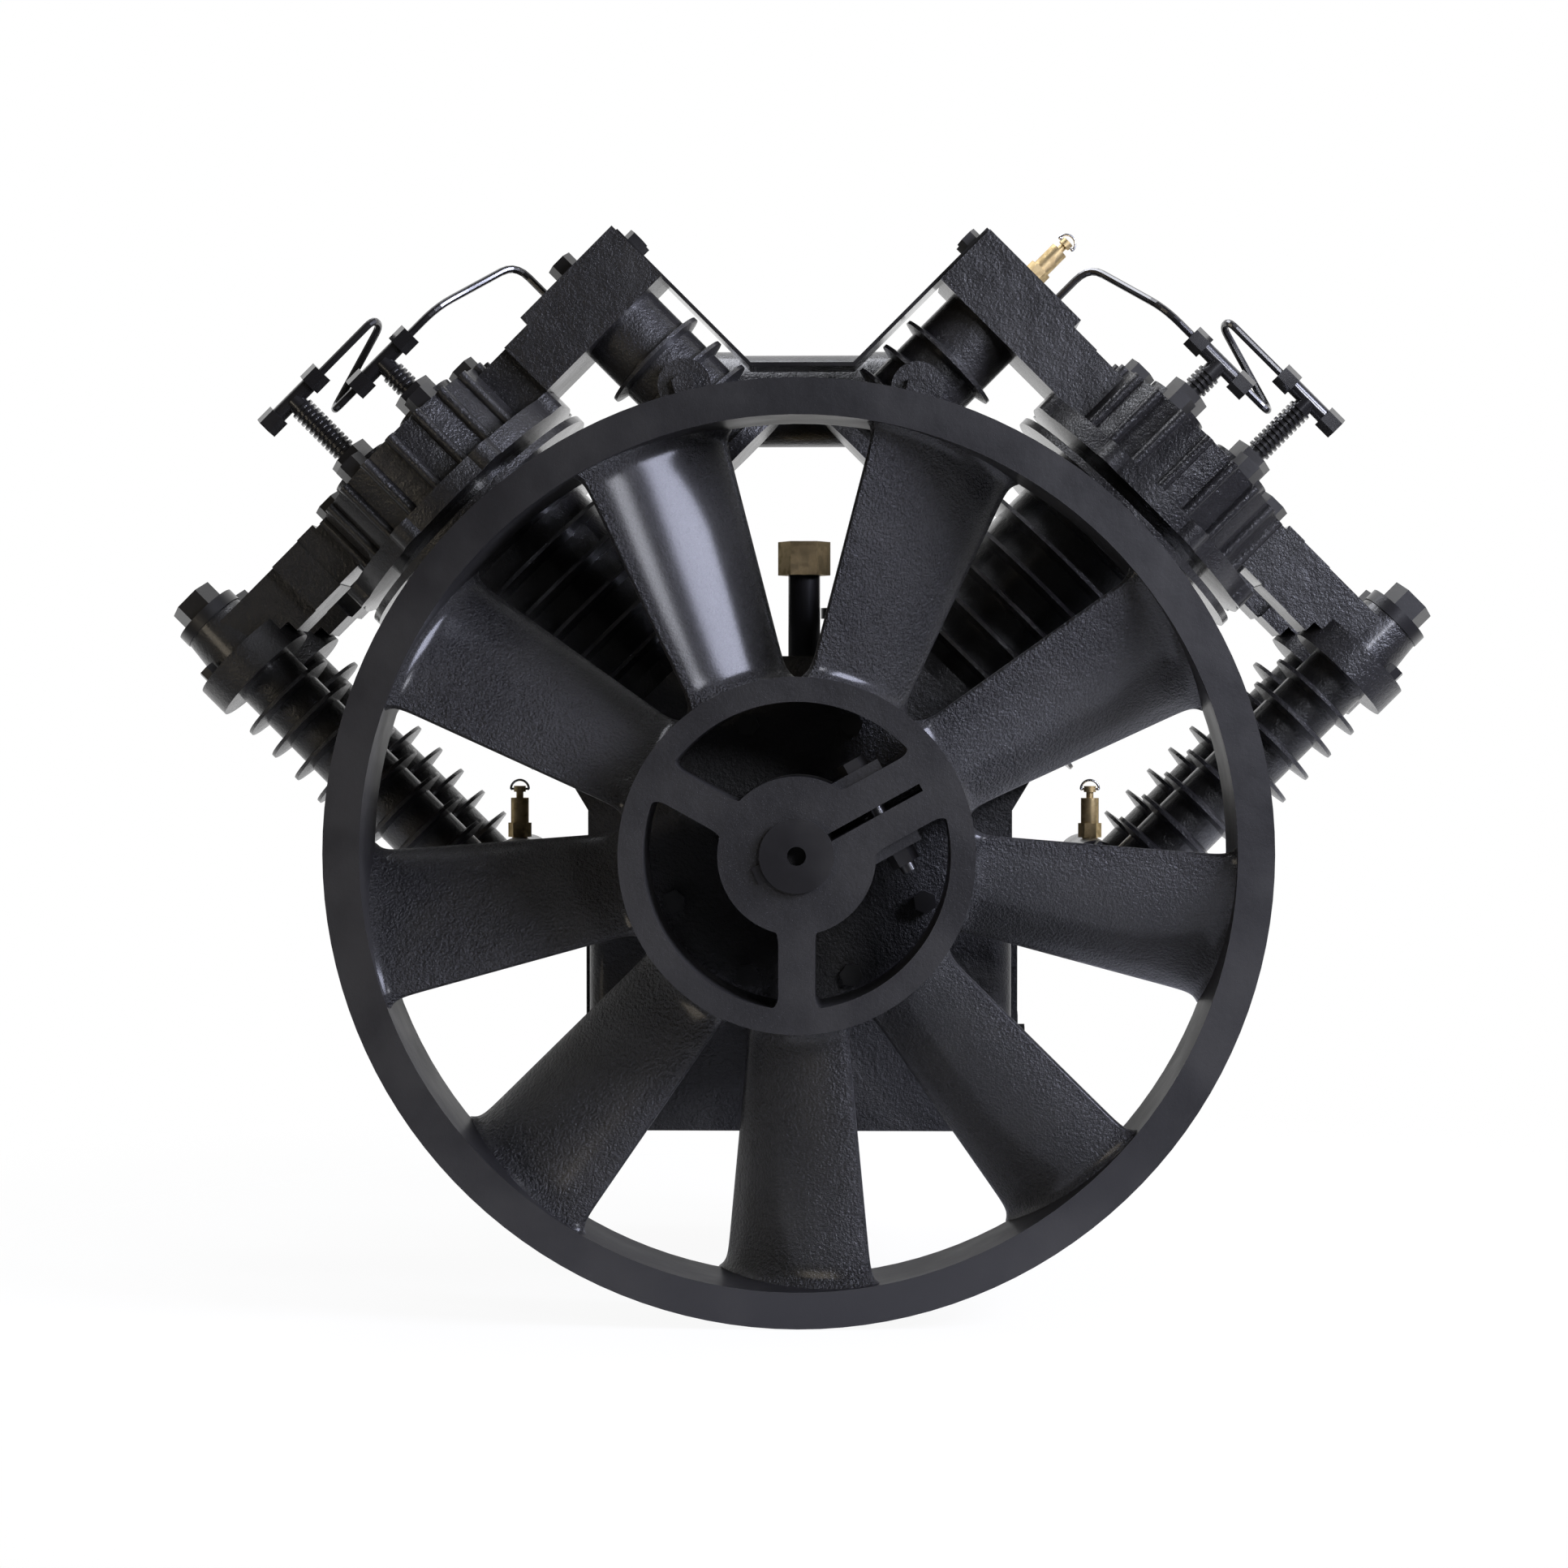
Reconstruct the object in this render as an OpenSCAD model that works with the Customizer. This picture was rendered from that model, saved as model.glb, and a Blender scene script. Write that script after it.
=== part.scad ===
// Two-stage V4 air compressor pump head, in millimetres.
// Origin: middle of the crankcase mounting face. +Z up, crankshaft along Y,
// flywheel towards -Y, the two cylinder banks lean to -X and +X.
// Bank frame: x is outboard (square to the cylinders), y is depth, z is up the cylinders
// from the crankshaft axis.

/* [Crankcase] */
// Height of the crankshaft axis above the mounting face
shaft_h = 220; // [210:1:240]
// Length of the crankcase along the crankshaft
case_len = 412; // [400:2:440]
// Half width of the crankcase sump
case_half_w = 165; // [150:1:175]
// Wall thickness of the crankcase casting
case_wall = 10; // [8:0.5:12]
// Distance from the crankshaft axis to the cylinder decks
deck_u = 168; // [160:1:176]
// Half width of a cylinder deck
deck_half = 88; // [86:1:92]
// Height of the valley between the banks above the crankshaft axis
valley_h = 150; // [145:1:156]
// Half width of the mounting feet
foot_half_w = 196; // [192:1:205]
// Thickness of the mounting feet
foot_t = 16; // [12:1:20]
// Spacing across of the four base bolts
base_bolt_x = 356; // [354:1:362]
// Spacing along the crankshaft of the four base bolts
base_bolt_y = 360; // [340:1:380]
// Radius of the base bolt holes
base_bolt_r = 8.7; // [7:0.1:9]

/* [Cylinders] */
// Angle between the banks in degrees
bank_angle = 90; // [90:1:90]
// Y of the low-pressure crank throw
lp_y = -89; // [-92:1:-86]
// Y of the high-pressure crank throw
second_y = 106; // [102:1:112]
// Height of each cylinder from deck to gasket face
cyl_h = 230; // [222:1:236]
// Radius of the low-pressure bores
lp_bore_r = 66.7; // [62:0.1:68]
// Radius of the high-pressure bores
second_bore_r = 36.5; // [33:0.1:38]
// Radius of the low-pressure cooling fins
lp_fin_r = 112; // [105:1:112]
// Radius of the high-pressure cooling fins
second_fin_r = 78; // [72:1:80]
// Spacing of the cylinder fins
fin_pitch = 27; // [25:0.5:30]

/* [Running gear] */
// Radius of the crank throw, half the stroke
throw_r = 48; // [44:0.5:50]
// Radius of the crankshaft nose in the flywheel
nose_r = 27.8; // [26:0.1:28.5]
// Radius of the crankpins
pin_r = 25; // [23:0.5:26]
// Width of each connecting rod
rod_w = 26; // [24:0.5:27]
// Thickness of each crank web
web_t = 20; // [18:0.5:22]

/* [Flywheel] */
// Outer radius of the flywheel
fly_r = 355.6; // [350:0.1:356]
// Y of the front face of the rim
fly_gap = 108; // [106:1:110]
// Depth of the rim along the crankshaft
rim_depth = 83; // [80:1:84]
// Radial thickness of the rim
rim_t = 27.6; // [26:0.2:30]
// Number of V-belt grooves
groove_n = 4; // [3:1:4]
// Spacing of the V-belt grooves
groove_pitch = 19; // [18.5:0.1:19.5]
// Number of fan blades
blade_n = 9; // [7:1:9]
// Blade width seen from the front at the hub ring
blade_w_in = 74; // [66:1:78]
// Blade width seen from the front at the rim
blade_w_out = 112; // [100:1:116]
// Outer radius of the hub ring
hub_ring_r = 132.5; // [130:0.5:136]
// Radial thickness of the hub ring
hub_ring_t = 18.5; // [16:0.5:20]
// Radius of the hub boss
hub_boss_r = 58.7; // [56:0.1:61]
// How far the hub face stands in front of the rim face
hub_proud = 25; // [20:1:30]

/* [Heads] */
// Radius of the low-pressure head drum at the rib tops
lp_head_r = 96; // [92:0.5:98]
// Radius of the high-pressure head drum at the rib tops
second_head_r = 66; // [62:0.5:68]
// Height of the head drums
head_h = 56; // [52:1:60]
// Number of ribs round a low-pressure drum
lp_rib_n = 20; // [16:1:22]
// Number of ribs round a high-pressure drum
second_rib_n = 14; // [10:1:16]

/* [Coolers] */
// Distance of the intercooler columns outboard of the cylinder axis
cooler_v = 212; // [208:1:218]
// Fin radius of the intercooler columns
cooler_fin_r = 42.5; // [40:0.5:44]
// Fin spacing of the intercooler columns
cooler_pitch = 26; // [24:0.5:28]
// Distance of the aftercooler columns inboard of the cylinder axis
after_v = 193; // [190:1:196]
// Radius of the cross pipe between the aftercoolers
cross_r = 38; // [34:0.5:40]

/* [Hidden] */
$fn = 64;

// One overrun for every cut, and the clearances used where pieces meet
cut = 2;
run_gap = 0.05;
free_gap = 0.5;
LEFT = -1;
RIGHT = 1;
SIDES = [LEFT, RIGHT];
ROOT2 = sqrt(2);
black = [0.05, 0.05, 0.055];
iron = [0.12, 0.12, 0.13];
steel = [0.62, 0.63, 0.65];
brass = [0.72, 0.56, 0.28];

// Places along the crankshaft
case_front = -case_len / 2;
case_back = case_len / 2;
fly_y = case_front - fly_gap;
fly_back = fly_y + rim_depth;
hub_front = fly_y - hub_proud;
pin_len = 2 * rod_w + 2 * free_gap;
bank_shift = (rod_w + free_gap) / 2;

// Shares of a piece's own sizes
valley_lean_share = 0.7;
cover_bolt_share = 0.75;
breather_cap_share = 1.4;
roller_len_share = 0.8;
wrist_len_share = 0.85;
small_nut_share = 0.9;
pocket_y_share = 0.6;
neck_root_share = 0.8;
port_root_share = 0.5;
cap_port_share = 0.9;
lift_boss_share = 0.75;
lift_plug_share = 1.25;
ring_ball_share = 1.2;
blade_root_share = 0.8;

// Crankcase details
case_corner_r = 16;
cover_t = 8;
cover_len = 250;
cover_h = 130;
cover_z = 62;
cover_lap = 14;
neck_h = 30;
carrier_flange_r = 118;
carrier_spigot_r = 84;
carrier_t = 14;
carrier_depth = 34;
carrier_bolt_r = 105;
carrier_bolt_n = 8;
bolt_af = 16;
bolt_h = 8;
bolt_shank_r = 4.8;

// Bearings and seal
cup_r = 62;
cup_t = 9;
bearing_w = 26;
cone_t = 8;
journal_r = 32;
roller_n = 14;
seal_w = 10;
seal_gap = 0.3;

// Filler, breather, sight glass and drain
filler_r = 13.35;
filler_wall = 2.9;
filler_top = 221;
filler_bury = 8;
cap_af = 38;
cap_h = 28;
breather_x = 26;
breather_y = 42;
breather_r = 9;
breather_h = 46;
sight_r = 17;
sight_z = 94;
sight_t = 10;
drain_af = 22;
drain_r = 10;
drain_z = 34;
drain_len = 10;

// Cylinder castings
lp_wall = 9.3;
second_wall = 12;
base_flange_t = 14;
spigot_depth = 9;
top_flange_t = 16;
lp_flange_r = 122;
second_flange_r = 84;
fin_tip_t = 3;
fin_root_t = 9;
fin_first = 30;
base_nut_gap = 9.5;
base_nut_n = 4;
nut_af = 17;
nut_h = 9;
gasket_t = 1;

// Pistons, rings, pins and rods
piston_gap = 0.12;
piston_len = 86;
piston_crown = 11;
piston_skirt_t = 8;
pin_drop = 46;
wrist_r = 13;
ring_h = 3;
ring_t = 3.2;
ring_pitch = 9;
ring_first = 8;
ring_n = 3;
top_clear = 1.5;
rod_big_t = 10;
rod_small_t = 7;
rod_beam_w = 22;
rod_beam_t = 12;
web_w = 78;
weight_r = 86;
weight_drop = 22;
web_gap = 0.4;

gasket_u = deck_u + cyl_h;
head_u = gasket_u + gasket_t;
head_top = head_u + head_h;
rod_len = gasket_u - top_clear - pin_drop - throw_r;

// The four cylinders as [side, throw y, bore radius, crank height]
CYLINDERS = [
    for (side = SIDES) [side, lp_y, lp_bore_r, throw_r],
    for (side = SIDES) [side, second_y, second_bore_r, -throw_r]
];

// Height of a wrist pin up its cylinder when the throws stand upright
function pin_height(crank_z) =
    crank_z / ROOT2 + sqrt(rod_len * rod_len - throw_r * throw_r / 2);

// Puts its children in the frame of one bank
module on_bank(side) {
    translate([0, side * bank_shift, shaft_h])
        mirror([side == LEFT ? 1 : 0, 0, 0])
            rotate([0, bank_angle / 2, 0])
                children();
}

// Lies a cylinder along Y from y0 to y1
module along_y(r, y0, y1) {
    translate([0, y1, 0])
        rotate([90, 0, 0])
            cylinder(r = r, h = y1 - y0);
}

module hex_bar(af, h) {
    cylinder(r = af / sqrt(3), h = h, $fn = 6);
}

module ring_of(n, r, start = 0) {
    for (i = [0 : n - 1])
        rotate([0, 0, start + i * 360 / n])
            translate([r, 0, 0])
                children();
}

module tube(r_out, r_in, h) {
    difference() {
        cylinder(r = r_out, h = h);
        translate([0, 0, -cut])
            cylinder(r = r_in, h = h + 2 * cut);
    }
}

// Upright box with round corners, centred in x and y
module round_box(w, d, h, r) {
    linear_extrude(height = h)
        union() {
            square([w - 2 * r, d], center = true);
            square([w, d - 2 * r], center = true);
            for (sx = SIDES, sy = SIDES)
                translate([sx * (w / 2 - r), sy * (d / 2 - r)])
                    circle(r = r);
        }
}

module hex_bolt(af, h, shank_r, shank_len) {
    hex_bar(af, h);
    translate([0, 0, -shank_len])
        cylinder(r = shank_r, h = shank_len + h / 2);
}

// Half outline of the crankcase top, pulled in by a wall
function case_half(inset) =
    let (
        u = deck_u - inset,
        v = deck_half - inset / 2,
        lap = case_half_w - inset
    )
    [
        [(u - v) / ROOT2, (u + v) / ROOT2],
        [(u + v) / ROOT2, (u - v) / ROOT2],
        [lap, neck_h - inset],
        [lap, -neck_h - inset]
    ];

function mirrored(points) = [for (i = [len(points) - 1 : -1 : 0]) [-points[i][0], points[i][1]]];

module case_top(inset, length) {
    half = case_half(inset);
    valley = valley_h - inset;
    valley_x = half[0][0] - (half[0][1] - valley) * valley_lean_share;
    points = concat([[valley_x, valley]], half, mirrored(half), [[-valley_x, valley]]);
    translate([0, length / 2, shaft_h])
        rotate([90, 0, 0])
            linear_extrude(height = length)
                polygon(points);
}

module case_shell_cuts() {
    inner = case_len - 2 * case_wall;
    case_top(case_wall, inner);
    translate([0, 0, foot_t])
        round_box(2 * (case_half_w - case_wall), inner, shaft_h - foot_t, case_corner_r - case_wall / 2);
}

module crankcase() {
    color(iron)
        difference() {
            union() {
                case_top(0, case_len);
                round_box(2 * case_half_w, case_len, shaft_h, case_corner_r);
                round_box(2 * foot_half_w, case_len, foot_t, case_corner_r);
            }
            case_shell_cuts();
            translate([0, 0, shaft_h])
                along_y(carrier_spigot_r, case_front - cut, case_back + cut);
            for (c = CYLINDERS)
                on_bank(c[0])
                    translate([0, c[1], deck_u - case_wall - cut])
                        cylinder(r = spigot_r(c[2]), h = case_wall + 2 * cut);
            for (side = SIDES)
                translate([side * case_half_w, 0, cover_z + cover_lap])
                    translate([-case_wall - cut, cover_lap - cover_len / 2, 0])
                        cube([2 * (case_wall + cut), cover_len - 2 * cover_lap, cover_h - 2 * cover_lap]);
            translate([0, 0, shaft_h + valley_h - case_wall - cut])
                cylinder(r = filler_r, h = case_wall + 2 * cut);
            translate([breather_x, breather_y, shaft_h + valley_h - case_wall - cut])
                cylinder(r = breather_r, h = case_wall + 2 * cut);
            translate([0, 0, drain_z])
                along_y(drain_r, case_back - case_wall - cut, case_back + cut);
            for (sx = SIDES, sy = SIDES)
                translate([sx * base_bolt_x / 2, sy * base_bolt_y / 2, -cut])
                    cylinder(r = base_bolt_r, h = foot_t + 2 * cut);
        }
}

function spigot_r(bore_r) = bore_r + spigot_wall;
spigot_wall = 5;

module bearing_carrier() {
    difference() {
        union() {
            along_y(carrier_flange_r, -carrier_t, 0);
            along_y(carrier_spigot_r, 0, carrier_depth);
        }
        along_y(cup_r, carrier_depth - bearing_w, carrier_depth + cut);
        children();
    }
}

module front_bearing_carrier() {
    color(iron)
        translate([0, case_front, shaft_h])
            bearing_carrier()
                along_y(nose_r + seal_w, -carrier_t - cut, carrier_depth);
}

module rear_bearing_carrier() {
    color(iron)
        translate([0, case_back, shaft_h])
            mirror([0, 1, 0])
                bearing_carrier()
                    along_y(journal_r, carrier_depth - bearing_w - seal_w / 2, carrier_depth);
}

module side_covers() {
    color(black)
        for (side = SIDES)
            mirror([side == LEFT ? 1 : 0, 0, 0])
                difference() {
                    translate([case_half_w, 0, cover_z + cover_h / 2])
                        rotate([0, 90, 0])
                            round_box(cover_h, cover_len, cover_t, case_corner_r / 2);
                    if (side == RIGHT)
                        translate([case_half_w - cut, 0, sight_z])
                            rotate([0, 90, 0])
                                cylinder(r = sight_r, h = cover_t + 2 * cut);
                }
}

module case_bolts() {
    color(black) {
        for (end = [0, 1])
            translate([0, end == 0 ? case_front : case_back, shaft_h])
                mirror([0, end, 0])
                    translate([0, -carrier_t, 0])
                        rotate([90, 0, 0])
                            ring_of(carrier_bolt_n, carrier_bolt_r, 180 / carrier_bolt_n)
                                hex_bar(bolt_af, bolt_h);
        for (side = SIDES)
            mirror([side == LEFT ? 1 : 0, 0, 0])
                for (sy = [-1, 0, 1], sz = [0, 1])
                    translate([
                        case_half_w + cover_t,
                        sy * (cover_len / 2 - cover_lap / 2),
                        cover_z + cover_lap / 2 + sz * (cover_h - cover_lap)
                    ])
                        rotate([0, 90, 0])
                            hex_bar(bolt_af * cover_bolt_share, bolt_h * cover_bolt_share);
    }
}

module oil_filler_pipe() {
    color(black)
        translate([0, 0, shaft_h + valley_h - filler_bury])
            tube(filler_r, filler_r - filler_wall, filler_top - valley_h + filler_bury);
}

module filler_cap() {
    color(brass)
        translate([0, 0, shaft_h + filler_top]) {
            hex_bar(cap_af, cap_h);
        }
}

module crankcase_breather() {
    color(black)
        translate([breather_x, breather_y, shaft_h + valley_h - case_wall]) {
            cylinder(r = breather_r, h = breather_h);
            translate([0, 0, breather_h])
                cylinder(r = breather_r * breather_cap_share, h = breather_r);
        }
}

module oil_sight_glass() {
    color("gainsboro")
        translate([case_half_w, 0, sight_z])
            rotate([0, 90, 0])
                cylinder(r = sight_r, h = sight_t);
}

module drain_plug() {
    color(black)
        translate([0, case_back, drain_z])
            rotate([-90, 0, 0]) {
                hex_bar(drain_af, drain_len);
                translate([0, 0, -case_wall])
                    cylinder(r = drain_r, h = case_wall + drain_len / 2);
            }
}

// Bearings, crankshaft and running gear
bearing_front_y = case_front + carrier_depth;
bearing_back_y = case_back - carrier_depth;

module bearing_cups() {
    color(steel)
        translate([0, 0, shaft_h])
            for (y0 = [bearing_front_y - bearing_w, bearing_back_y])
                translate([0, y0 + bearing_w, 0])
                    rotate([90, 0, 0]) {
                        tube(cup_r, cup_r - cup_t, bearing_w);
                        ring_of(roller_n, roller_place)
                            cylinder(r = roller_r, h = bearing_w * roller_len_share);
                    }
}

roller_in = journal_r + cone_t + run_gap;
roller_out = cup_r - cup_t;
roller_r = (roller_out - roller_in) / 2 - run_gap;
roller_place = (roller_out + roller_in) / 2;

module bearing_cones() {
    color(steel)
        translate([0, 0, shaft_h])
            for (y0 = [bearing_front_y - bearing_w, bearing_back_y])
                translate([0, y0 + bearing_w - free_gap, 0])
                    rotate([90, 0, 0])
                        tube(journal_r + cone_t, journal_r, bearing_w - 2 * free_gap);
}

module shaft_seal() {
    color("dimgray")
        translate([0, case_front - carrier_t + seal_w, shaft_h])
            rotate([90, 0, 0])
                tube(nose_r + seal_w, nose_r + seal_gap, seal_w);
}

// One crank web with its balance weight opposite the pin
module crank_web(y0, up) {
    mirror([0, 0, up > 0 ? 0 : 1])
        translate([0, y0 + web_t, 0])
            rotate([90, 0, 0])
                linear_extrude(height = web_t)
                    union() {
                        circle(r = web_w / 2);
                        translate([0, throw_r])
                            circle(r = web_w / 2);
                        translate([-web_w / 2, 0])
                            square([web_w, throw_r]);
                        intersection() {
                            circle(r = weight_r);
                            translate([-weight_r, -weight_r])
                                square([2 * weight_r, weight_r - weight_drop + web_w / 4]);
                        }
                    }
}

module crankshaft() {
    half = pin_len / 2 + web_gap;
    color(steel)
        translate([0, 0, shaft_h])
            difference() {
                union() {
                    along_y(nose_r, hub_front - shaft_proud, bearing_front_y - bearing_w);
                    along_y(journal_r, bearing_front_y - bearing_w, lp_y - half);
                    along_y(journal_r, lp_y + half, second_y - half);
                    along_y(journal_r, second_y + half, bearing_back_y + bearing_w);
                    for (s = SIDES) {
                        crank_web(lp_y + s * half - (s < 0 ? web_t : 0), 1);
                        crank_web(second_y + s * half - (s < 0 ? web_t : 0), -1);
                    }
                }
                along_y(centre_drill_r, hub_front - shaft_proud - cut, hub_front + centre_drill_depth);
                key_space(key_gap);
            }
}

shaft_proud = 4;
centre_drill_r = 7;
centre_drill_depth = 12;
key_w = 12.7;
key_angle = 206;
key_gap = 0.02;
key_len = 70;

// The key stands half in the shaft and half in the hub
module key_space(gap) {
    rotate([0, -key_angle, 0])
        translate([nose_r - key_w / 2 - gap, hub_front - shaft_proud / 2, -key_w / 2 - gap])
            cube([key_w + 2 * gap, key_len, key_w + 2 * gap]);
}

module flywheel_key() {
    color(steel)
        translate([0, 0, shaft_h])
            key_space(0);
}

module crankpins() {
    color(steel)
        for (t = [[lp_y, throw_r], [second_y, -throw_r]])
            translate([0, 0, shaft_h + t[1]])
                along_y(pin_r, t[0] - pin_len / 2, t[0] + pin_len / 2);
}

// A rod drawn in its bank frame, from the crankpin to the wrist pin
module connecting_rod(crank_z) {
    pin_x = -crank_z / ROOT2;
    pin_z = crank_z / ROOT2;
    lean = asin(pin_x / rod_len);
    translate([pin_x, 0, pin_z])
        rotate([0, -lean, 0])
            difference() {
                union() {
                    along_y(pin_r + rod_big_t, -rod_w / 2, rod_w / 2);
                    translate([0, 0, rod_len])
                        along_y(wrist_r + rod_small_t, -rod_w / 2, rod_w / 2);
                    translate([-rod_beam_w / 2, -rod_beam_t / 2, pin_r])
                        cube([rod_beam_w, rod_beam_t, rod_len - pin_r]);
                }
                along_y(pin_r + run_gap, -rod_w, rod_w);
                translate([0, 0, rod_len])
                    along_y(wrist_r + run_gap, -rod_w, rod_w);
            }
}

module connecting_rods() {
    color(iron)
        for (c = CYLINDERS)
            on_bank(c[0])
                translate([0, c[1], 0])
                    connecting_rod(c[3]);
}

module piston(bore_r) {
    r = bore_r - piston_gap;
    difference() {
        translate([0, 0, pin_drop - piston_len])
            cylinder(r = r, h = piston_len);
        difference() {
            translate([0, 0, pin_drop - piston_len - cut])
                cylinder(r = r - piston_skirt_t, h = piston_len - piston_crown + cut);
            for (s = SIDES)
                along_y(
                    wrist_r + rod_small_t,
                    s > 0 ? rod_w / 2 + free_gap : -bore_r,
                    s > 0 ? bore_r : -rod_w / 2 - free_gap
                );
        }
        along_y(wrist_r, -bore_r, bore_r);
        for (i = [0 : ring_n - 1])
            translate([0, 0, pin_drop - ring_first - i * ring_pitch - ring_h])
                tube(bore_r + cut, r - ring_t, ring_h);
    }
}

module pistons() {
    color(steel)
        for (c = CYLINDERS)
            on_bank(c[0])
                translate([0, c[1], pin_height(c[3])])
                    piston(c[2]);
}

module piston_rings() {
    color("dimgray")
        for (c = CYLINDERS)
            on_bank(c[0])
                translate([0, c[1], pin_height(c[3]) + pin_drop - ring_first])
                    for (i = [0 : ring_n - 1])
                        translate([0, 0, -i * ring_pitch - ring_h])
                            tube(c[2] - run_gap, c[2] - piston_gap - ring_t, ring_h);
}

module wrist_pins() {
    color(steel)
        for (c = CYLINDERS)
            on_bank(c[0])
                translate([0, c[1], pin_height(c[3])])
                    along_y(wrist_r, -c[2] * wrist_len_share, c[2] * wrist_len_share);
}

// Cylinders: a finned barrel with a deck flange, two top discs and a bored liner
function fin_points(r_in, r_out, z) = [
    [r_in, z - fin_root_t / 2],
    [r_out, z - fin_tip_t / 2],
    [r_out, z + fin_tip_t / 2],
    [r_in, z + fin_root_t / 2]
];

module fin(r_in, r_out, z) {
    rotate_extrude($fn = 96)
        polygon(fin_points(r_in, r_out, z));
}

module cylinder_casting(bore_r, wall, fin_r, flange_r, lug_n, lug_start) {
    barrel = bore_r + wall;
    step = bore_r + spigot_wall;
    second = cyl_h - top_flange_t - lower_disc_drop;
    difference() {
        union() {
            cylinder(r = barrel, h = cyl_h);
            translate([0, 0, -spigot_depth])
                cylinder(r = step - free_gap, h = spigot_depth + cut);
            cylinder(r = barrel + base_flange_lip, h = base_flange_t);
            translate([0, 0, cyl_h - top_flange_t])
                linear_extrude(height = top_flange_t) {
                    circle(r = flange_r - lug_out);
                    ring_of(lug_n, flange_r - lug_r, lug_start)
                        circle(r = lug_r);
                }
            translate([0, 0, second])
                cylinder(r = flange_r - lug_out, h = lower_disc_t);
            for (z = [fin_first : fin_pitch : second - fin_pitch / 2])
                fin(barrel - cut, fin_r, z);
        }
        translate([0, 0, -spigot_depth - cut])
            cylinder(r = bore_r, h = cyl_h + spigot_depth + 2 * cut);
        translate([0, 0, cyl_h - head_bolt_grip + cut])
            head_bolt_holes(bore_r, head_bolt_grip);
    }
}

base_flange_lip = 19;
lower_disc_drop = 16;
lower_disc_t = 6;
lug_out = 6;
lug_r = 13;
lp_lug_n = 8;
second_lug_n = 6;

module lp_cylinder(side) {
    color(black)
        on_bank(side)
            translate([0, lp_y, deck_u])
                cylinder_casting(lp_bore_r, lp_wall, lp_fin_r, lp_flange_r, lp_lug_n, 180 / lp_lug_n);
}

module lp_cylinder_left() {
    lp_cylinder(LEFT);
}

module lp_cylinder_right() {
    lp_cylinder(RIGHT);
}

module second_cylinders() {
    color(black)
        for (side = SIDES)
            on_bank(side)
                translate([0, second_y, deck_u])
                    cylinder_casting(second_bore_r, second_wall, second_fin_r, second_flange_r, second_lug_n, 0);
}

module cylinder_nuts() {
    color(black)
        for (c = CYLINDERS) {
            barrel = c[2] + (c[2] == lp_bore_r ? lp_wall : second_wall);
            on_bank(c[0])
                translate([0, c[1], deck_u + base_flange_t])
                    ring_of(base_nut_n, barrel + base_nut_gap, 180 / base_nut_n)
                        hex_bar(nut_af * small_nut_share, nut_h);
        }
}

module head_gaskets() {
    color("dimgray")
        for (c = CYLINDERS)
            on_bank(c[0])
                translate([0, c[1], gasket_u])
                    difference() {
                    tube((c[2] == lp_bore_r ? lp_head_r : second_head_r) - rib_out, c[2], gasket_t);
                    head_bolt_holes(c[2], gasket_t);
                }
}

// Heads: a ribbed drum with two valve pockets, an inboard neck and an outboard duct
rib_out = 6;
rib_r = 4.5;
roof_t = 10;
neck_h_share = 0.86;
neck_top = head_h * neck_h_share;
neck_half_d = 36;
neck_flange_half_d = 44;
neck_v = 113;
joint_v = 139;
block_v = 242;
second_neck_low = 26;
second_port_r = 10;
pocket_r = 21;
second_pocket_r = 13;
pocket_v = 36;
duct_half_d = 27;
duct_low = 11;
duct_top = 4;
duct_v = 114;
duct_joint_v = 143;
head_bolt_n = 6;
head_bolt_af = 22;
second_bolt_af = 17.6;
head_bolt_h = 13;
intake_r = 24;
intake_boss_r = 30;
intake_y = 44;
intake_h = 14;

// Pocket places across the bank and along the crankshaft
LP_POCKETS = [[-pocket_v, -pocket_v * pocket_y_share], [pocket_v, -pocket_v * pocket_y_share]];
SECOND_POCKETS = [[-pocket_v * pocket_y_share, 0], [pocket_v * pocket_y_share, 0]];

// The suction gallery runs from the intake to the inboard pocket
gallery_len = norm(LP_POCKETS[0] - [0, intake_y]);
gallery_angle = atan2(LP_POCKETS[0][1] - intake_y, LP_POCKETS[0][0]);

// Holes of the head bolts, which pass the head and screw into the cylinder
head_bolt_in = 13.6;
head_bolt_r = 6;
head_bolt_grip = 13;

function head_bolt_circle(bore_r) = (bore_r == lp_bore_r ? lp_head_r : second_head_r) - rib_out - head_bolt_in;
function head_bolt_start(bore_r) = bore_r == lp_bore_r ? 0 : 180 / head_bolt_n;

module head_bolt_holes(bore_r, h) {
    translate([0, 0, -cut])
        ring_of(head_bolt_n, head_bolt_circle(bore_r), head_bolt_start(bore_r))
            cylinder(r = head_bolt_r, h = h + 2 * cut);
}

module ribbed_drum(r, n) {
    linear_extrude(height = head_h)
        union() {
            circle(r = r - rib_out);
            for (i = [0 : n - 1])
                rotate(i * 360 / n)
                    union() {
                        translate([r - rib_out - rib_r, -rib_r])
                            square([rib_out, 2 * rib_r]);
                        translate([r - rib_r, 0])
                            circle(r = rib_r, $fn = 24);
                    }
        }
}

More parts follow.
